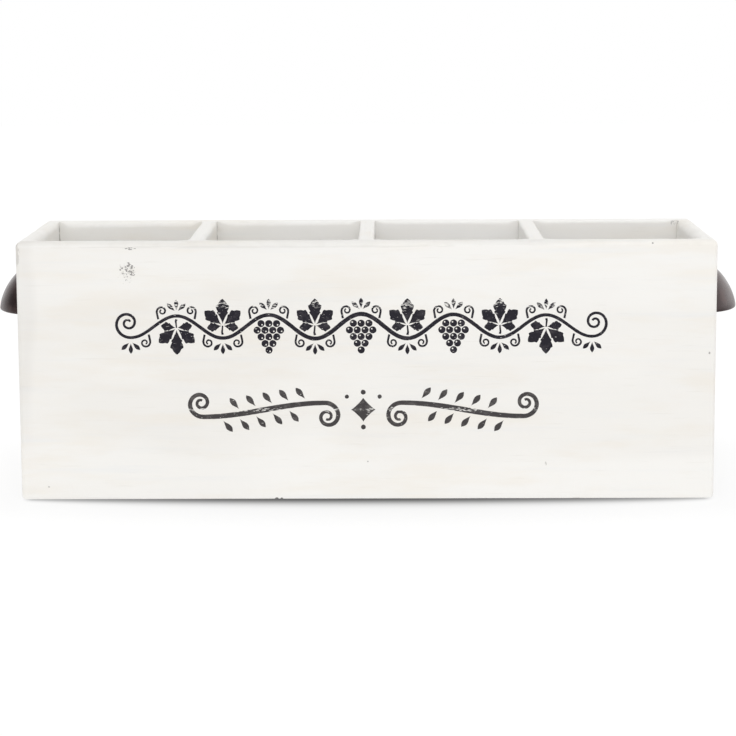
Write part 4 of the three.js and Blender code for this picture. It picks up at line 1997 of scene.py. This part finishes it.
@dataclass
class VineBorder:
    """The upper print: a running grapevine, alike on both sides of its middle.

    A curl and a tendril are given by their first radius, their last radius and their turns.
    """

    middle: Flat = (-3.0, 101.0)
    half_wave: float = 26.4
    half_waves: int = 5
    swing: float = 7.2
    swing_loss: float = 0.008
    stem_width: float = 1.25
    end_width: float = 0.6
    berry: float = 2.05
    berry_pitch: float = 4.45
    berry_rows: tuple[int, ...] = (3, 4, 3, 2, 1)
    leaf: float = 15.6
    fan: float = 6.6
    fan_angle: float = 46.0
    curl: Size = (8.6, 1.5, 1.7)
    tendril: Size = (3.1, 0.9, 1.25)
    tendril_lead: float = 3.6
    stem_steps: int = 18
    fan_gap: float = 2.0
    fan_foot: float = 0.8
    tendril_shift: float = 2.8
    tendril_lean: float = 0.2
    tendril_gap: float = 2.4
    tendril_widths: Flat = (0.6, 0.4)
    bunch_bend: int = 2
    bunch_gap: float = 5.0
    middle_gap: float = 5.4
    leaf_foot: float = 0.6
    stalk_gap: float = 2.0
    stalk_bow: float = 0.4
    stalk_widths: Flat = (0.7, 0.4)

    def stem_height(self, right: float) -> float:
        """How high the stem is at a place from the middle."""
        return (self.swing - self.swing_loss * abs(right)) * math.cos(math.pi * right / self.half_wave)

    def stem(self) -> Stroke:
        """The stem from curl to curl.

        Returns:
            The line, thinner towards its ends.
        """
        reach = self.half_wave * self.half_waves
        steps = self.stem_steps * self.half_waves
        places = [reach * step / steps for step in range(steps + 1)]
        line = [(right, self.stem_height(right)) for right in places]
        line += spiral(line[-1], 0.0, *self.curl, 1)[1:]
        full = [(-right, up) for right, up in reversed(line[1:])] + line
        return swelled(full, self.stem_width, self.end_width)

    def bunch(self, right: float, top: float) -> list[Stamp]:
        """A bunch of berries.

        Args:
            right: Its place from the middle.
            top: The height of its top row.

        Returns:
            The berries.
        """
        berries = []
        for row, count in enumerate(self.berry_rows):
            up = top - row * self.berry_pitch * math.sqrt(3) / 2
            for index in range(count):
                along = right + (index - (count - 1) / 2) * self.berry_pitch
                berries.append(Stamp(Motif.BERRY, along, up, 0.0, self.berry))
        return berries

    def small_leaves(self, right: float, way: int) -> list[Stamp]:
        """Three small leaves on the outer side of a bend of the stem.

        Args:
            right: Their place from the middle.
            way: 1 for leaves above the stem and -1 for leaves below it.

        Returns:
            The leaves.
        """
        up = self.stem_height(right) + way * self.fan_gap
        leaves = []
        for step in (-1, 0, 1):
            angle = way * math.pi / 2 + math.radians(step * self.fan_angle)
            spot = Vector((right, up)) + self.fan_foot * aim(angle)
            leaves.append(Stamp(Motif.DROP, spot.x, spot.y, angle, self.fan))
        return leaves

    def tendrils(self, crossing: int) -> list[Stroke]:
        """The two tendrils beside a place where the stem crosses its middle line.

        Args:
            crossing: The crossing's number from the middle.

        Returns:
            One tendril above the stem and one below it.
        """
        falls = 1 if crossing % 2 == 0 else -1
        spot = (crossing + 0.5) * self.half_wave
        lines = []
        for way in (1, -1):
            right = spot - falls * way * self.tendril_shift
            heading = way * math.pi / 2 - falls * self.tendril_lean
            start = Vector((right, self.stem_height(right) + way * self.tendril_gap))
            stop = start + self.tendril_lead * aim(heading)
            line = spiral((stop.x, stop.y), heading, *self.tendril, falls)
            lines.append(tapered([(start.x, start.y), *line], *self.tendril_widths))
        return lines

    def half(self) -> tuple[list[Stamp], list[Stroke]]:
        """The motifs and lines to the right of the middle.

        Returns:
            The stamps and the strokes.
        """
        stamps: list[Stamp] = []
        strokes: list[Stroke] = []
        for index in range(1, self.half_waves + 1):
            spot = index * self.half_wave
            stem = self.stem_height(spot)
            inner = -1 if stem > 0 else 1
            stamps += self.small_leaves(spot, -inner)
            strokes += self.tendrils(index - 1)
            if index == self.bunch_bend:
                stamps += self.bunch(spot, stem - self.bunch_gap)
            elif index < self.half_waves:
                base = inner * self.leaf_foot
                stamps.append(Stamp(Motif.LEAF, spot, base, inner * math.pi / 2, self.leaf))
                top = stem + inner * self.stalk_gap
                stalk = [(spot, top), (spot + self.stalk_bow, stem / 2), (spot, base)]
                strokes.append(tapered(stalk, *self.stalk_widths))
        return stamps, strokes

    def build(self, press: StencilPress, paint: Material) -> Object:
        """Presses the border.

        Args:
            press: The press.
            paint: Its material.

        Returns:
            The print.
        """
        stamps, strokes = self.half()
        stamps += [stamp.mirrored() for stamp in stamps]
        strokes += [stroke.mirrored() for stroke in strokes]
        stamps += self.bunch(0.0, self.swing - self.middle_gap)
        stamps += self.small_leaves(0.0, 1)
        return press.press("stencil_vine", self.middle, stamps, [self.stem(), *strokes], paint)


@dataclass
class ScrollLine:
    """The lower print: a lozenge between two long scrolls, fainter than the vine.

    A curl is given by its first radius, its last radius and its turns.
    """

    middle: Flat = (-2.0, 52.5)
    start: float = 22.0
    stop: float = 92.0
    sway: float = 4.0
    curl: Size = (8.2, 1.6, 1.6)
    width: float = 1.6
    end_width: float = 0.7
    leaf_pitch: float = 9.5
    leaf: float = 9.0
    leaf_angle: float = 50.0
    leaf_shift: float = 5.0
    leaf_gap: float = 2.4
    leaves_beside: int = 2
    half_steps: int = 24
    lozenge: float = 7.0
    side_dot: Size = (9.4, 7.6, 1.2)
    middle_dot: Flat = (10.2, 1.4)

    def line_height(self, right: float) -> float:
        """How high a scroll is at a place from the middle, between its curls."""
        return self.sway * math.cos(math.pi * (right - self.start) / (self.stop - self.start))

    def scroll(self) -> Stroke:
        """The scroll to the right of the middle, curled up at both ends.

        Returns:
            The line, thickest in its middle.
        """
        centre = (self.start + self.stop) / 2
        outer = []
        for step in range(self.half_steps + 1):
            right = centre + (self.stop - centre) * step / self.half_steps
            outer.append((right, self.line_height(right)))
        outer += spiral(outer[-1], 0.0, *self.curl, 1)[1:]
        inner = [(2 * centre - right, -up) for right, up in outer]
        return swelled([*reversed(inner[1:]), *outer], self.width, self.end_width)

    def half(self) -> list[Stamp]:
        """The leaves along the scroll to the right of the middle.

        Returns:
            The stamps.
        """
        centre = (self.start + self.stop) / 2
        angle = math.radians(self.leaf_angle)
        right, up, size = self.side_dot
        stamps = [Stamp(Motif.DOT, right, up, 0.0, size)]
        for step in range(-self.leaves_beside, self.leaves_beside + 1):
            right = centre - self.leaf_shift + step * self.leaf_pitch
            up = self.line_height(right) + self.leaf_gap
            stamps.append(Stamp(Motif.DROP, right, up, angle, self.leaf))
            stamps.append(Stamp(Motif.DROP, 2 * centre - right, -up, angle + math.pi, self.leaf))
        return stamps

    def build(self, press: StencilPress, paint: Material) -> Object:
        """Presses the scrolls.

        Args:
            press: The press.
            paint: Its material.

        Returns:
            The print.
        """
        stamps = self.half()
        stamps += [stamp.mirrored() for stamp in stamps]
        stamps.append(Stamp(Motif.LOZENGE, 0.0, 0.0, 0.0, self.lozenge))
        up, size = self.middle_dot
        stamps += [Stamp(Motif.DOT, 0.0, side * up, 0.0, size) for side in (-1, 1)]
        strokes = [self.scroll(), self.scroll().mirrored()]
        return press.press("stencil_scroll", self.middle, stamps, strokes, paint)


# Brads

class HiddenBrads:
    """The brads under the paint, which keep their CAD solids."""

    def dress(self, steel: Material) -> None:
        """Gives every brad its metal.

        Args:
            steel: The brads' material.
        """
        brads = [node for name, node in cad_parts.items() if "_brad_" in name]
        for brad in brads:
            for slot in brad.material_slots:
                slot.material = steel
        log.info("brads: %d", len(brads))


# Studio

@dataclass
class Studio:
    """The white floor, the soft light and the camera. Distances are in millimetres."""

    camera_place: Size = (11.53, -1159.7, 294.17)
    pitch: float = 7.259
    yaw: float = 0.504
    roll: float = 0.262
    lens: float = 95.982
    shift: float = -0.18
    sky: float = 0.842
    dim_side: float = 0.25
    bright_side: float = 2.2
    far_side: float = 1.15
    lamp_height: float = 34.0
    lamp_turn: float = -7.0
    lamp_spread: float = 70.0
    lamp_strength: float = 0.675
    floor_half: float = 3000.0
    floor_tone: float = 0.25
    floor_bounce: float = 0.65
    floor_glow: float = 0.79
    contact_reach: float = 12.0
    contact_depth: float = 0.77
    broad_shadow_reach: float = 50.0
    broad_shadow_depth: float = 0.11
    broad_shadow_loss: float = 0.5
    broad_shadow_least: float = 0.4
    lens_margin: float = 5.0
    lens_least: float = 0.001
    lens_power: float = 0.3
    foot_fade: Flat = (0.5, -7.0)
    sensor: float = 36.0
    nearest: float = 10.0

    def set_sky(self) -> None:
        """Makes the background white and its light soft, with a dim reflection in front on the left."""
        world = bpy.data.worlds.new("white_studio")
        bpy.context.scene.world = world
        world.use_nodes = True
        sheet = NodeSheet(world.node_tree)
        background = world.node_tree.nodes["Background"]
        background.inputs["Color"].default_value = (1.0, 1.0, 1.0, 1.0)
        path = sheet.add("ShaderNodeLightPath").outputs
        towards = sheet.add("ShaderNodeTexCoord").outputs["Generated"]
        right = sheet.spread(sheet.part(towards, "X"), start=-0.7, stop=0.7)
        front = sheet.maths("MULTIPLY_ADD", right, self.bright_side - self.dim_side, self.dim_side)
        behind = sheet.spread(sheet.part(towards, "Y"), start=0.3, stop=1.0)
        change = sheet.maths("MULTIPLY", behind, sheet.maths("SUBTRACT", self.far_side, front))
        mirrored = sheet.maths("SUBTRACT", sheet.maths("ADD", front, change), self.sky)
        strength = sheet.maths("MULTIPLY_ADD", path["Is Glossy Ray"], mirrored, self.sky)
        direct = sheet.maths("MAXIMUM", path["Is Camera Ray"], path["Is Transmission Ray"])
        strength = sheet.maths("MULTIPLY_ADD", direct, 1.0 - self.sky, strength)
        sheet.feed(background.inputs["Strength"], strength)

    def add_lamp(self) -> None:
        """Hangs one far, wide and soft lamp in front, above and a little to the left."""
        light = bpy.data.lights.new("soft_lamp", "SUN")
        light.angle = math.radians(self.lamp_spread)
        light.energy = self.lamp_strength
        lamp = add_piece("soft_lamp", light)
        lamp.rotation_euler = (math.radians(90.0 - self.lamp_height), 0.0, math.radians(self.lamp_turn))

    def unshaded(self, sheet: NodeSheet) -> NodeSocket:
        """How clear the floor is of the shadow painted at the box's foot.

        The painted shadow at the foot is a soft lens, deepest and widest at the middle of the front and
        back, in a broad, faint painted shadow.

        Args:
            sheet: The sheet of the floor's material.

        Returns:
            A mask that is 1 on the open floor.
        """
        place = sheet.scaled(sheet.add("ShaderNodeTexCoord").outputs["Object"], 1 / MM)
        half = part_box("front_panel")[1] / MM
        depth = -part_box("front_panel")[0].y / MM
        along = sheet.maths("ABSOLUTE", sheet.part(place, "X"))
        ahead = sheet.maths("ABSOLUTE", sheet.part(place, "Y"))
        beyond = sheet.maths("MAXIMUM", sheet.maths("SUBTRACT", along, half.x), 0.0)
        before = sheet.maths("MAXIMUM", sheet.maths("SUBTRACT", ahead, depth), 0.0)
        middle = sheet.maths("POWER", sheet.maths("DIVIDE", along, half.x + self.lens_margin), 2.0)
        lens = sheet.maths("MAXIMUM", sheet.maths("SUBTRACT", 1.0, middle), self.lens_least)
        # The painted contact shadow at the foot.
        near = sheet.maths("POWER", sheet.maths("DIVIDE", before, self.contact_reach), 2.0)
        fall = sheet.maths("DIVIDE", near, lens)
        contact = sheet.maths("EXPONENT", sheet.maths("MULTIPLY", fall, -1.0))
        inside = sheet.spread(along, *(half.x + gap for gap in self.foot_fade))
        inside = sheet.maths("MULTIPLY", inside, sheet.maths("POWER", lens, self.lens_power))
        away = sheet.maths("ADD", sheet.maths("POWER", beyond, 2.0), sheet.maths("POWER", before, 2.0))
        # A broad, faint painted shadow round the foot, weaker towards the ends.
        broad_shadow = sheet.maths("EXPONENT", sheet.maths("MULTIPLY", away, -(self.broad_shadow_reach**-2)))
        dark = sheet.maths("MULTIPLY", sheet.maths("MULTIPLY", contact, inside), self.contact_depth)
        share = sheet.maths("MULTIPLY_ADD", middle, -self.broad_shadow_loss * self.broad_shadow_depth, self.broad_shadow_depth)
        share = sheet.maths("MAXIMUM", share, self.broad_shadow_least * self.broad_shadow_depth)
        dark = sheet.maths("MULTIPLY_ADD", broad_shadow, share, dark)
        return sheet.maths("SUBTRACT", 1.0, dark)

    def add_floor(self) -> None:
        """Lays a pale floor with a painted shadow at the box's foot; it also takes the lamp's shadow and
        throws light up at its sides.
        """
        half = self.floor_half * MM
        mesh = bpy.data.meshes.new("floor")
        spots = [(-half, -half, 0), (half, -half, 0), (half, half, 0), (-half, half, 0)]
        mesh.from_pydata(spots, [], [(0, 1, 2, 3)])
        material = bpy.data.materials.new("pale_floor")
        material.use_nodes = True
        sheet = NodeSheet(material.node_tree)
        material.node_tree.nodes.remove(material.node_tree.nodes["Principled BSDF"])
        # The painted shadow darkens both the glow and the matt colour, for rays that see the floor.
        clear = self.unshaded(sheet)
        path = sheet.add("ShaderNodeLightPath").outputs
        seen = sheet.maths("MAXIMUM", path["Is Camera Ray"], path["Is Glossy Ray"])
        seen = sheet.maths("MAXIMUM", seen, path["Is Transmission Ray"])
        kept = sheet.maths("MULTIPLY_ADD", seen, sheet.maths("SUBTRACT", clear, 1.0), 1.0)
        tone = (self.floor_tone, self.floor_tone, self.floor_tone)
        matt_tone = sheet.blend(kept, (0.0, 0.0, 0.0), tone)
        matt = sheet.out("ShaderNodeBsdfDiffuse", {"Color": matt_tone})
        glow = sheet.maths("MULTIPLY_ADD", clear, self.floor_glow, -self.floor_bounce)
        strength = sheet.maths("MULTIPLY_ADD", seen, glow, self.floor_bounce)
        shine = sheet.out("ShaderNodeEmission", {"Strength": strength})
        both = sheet.out("ShaderNodeAddShader", {0: matt, 1: shine})
        sheet.feed(material.node_tree.nodes["Material Output"].inputs["Surface"], both)
        mesh.materials.append(material)
        add_piece("floor", mesh)

    def add_camera(self) -> None:
        """Sets the camera at the photograph's view."""
        view = bpy.data.cameras.new("camera")
        view.lens = self.lens
        view.sensor_width = self.sensor
        view.shift_y = self.shift
        view.clip_start = self.nearest * MM
        camera = add_piece("camera", view)
        camera.location = Vector(self.camera_place) * MM
        camera.rotation_euler = [math.radians(turn) for turn in (90.0 - self.pitch, self.roll, self.yaw)]
        bpy.context.scene.camera = camera

    def build(self) -> None:
        """Sets up the floor, the light and the camera."""
        bpy.context.scene.view_settings.view_transform = "Standard"
        self.set_sky()
        self.add_lamp()
        self.add_floor()
        self.add_camera()


def main() -> None:
    """Builds the studio and every sub-assembly of the rack."""
    logging.basicConfig(level=logging.INFO, format="%(name)s: %(message)s")
    Studio().build()
    effects = Effects()
    BottleBox().build(PaintFinish(), effects)
    bronze = MetalFinish().material("dark_bronze", effects)
    for node in ("left_cup_handle", "right_cup_handle"):
        CupHandle(node).build(bronze)
    screw_metal = MetalFinish(tone=(0.026, 0.021, 0.020), roughness=0.34, patch=2.0)
    HandleScrews().build(screw_metal.material("screw_bronze", effects))
    steel = MetalFinish(
        tone=(0.38, 0.38, 0.37), cloud=(0.46, 0.46, 0.45), rubbed=(0.6, 0.6, 0.58),
        metallic=1.0, roughness=0.34, patch=3.0,
    )
    HiddenBrads().dress(steel.material("brad_steel", effects))
    press = StencilPress()
    dark = StencilFinish(scuff_height=114.0, scuff_reach=4.0)
    VineBorder().build(press, dark.material("stencil_dark", effects))
    soft = StencilFinish(
        tone=(0.052, 0.047, 0.048), faded=(0.105, 0.097, 0.095), scuff_height=52.5, scuff_reach=2.0
    )
    ScrollLine().build(press, soft.material("stencil_soft", effects))


if __name__ == "__main__":
    main()
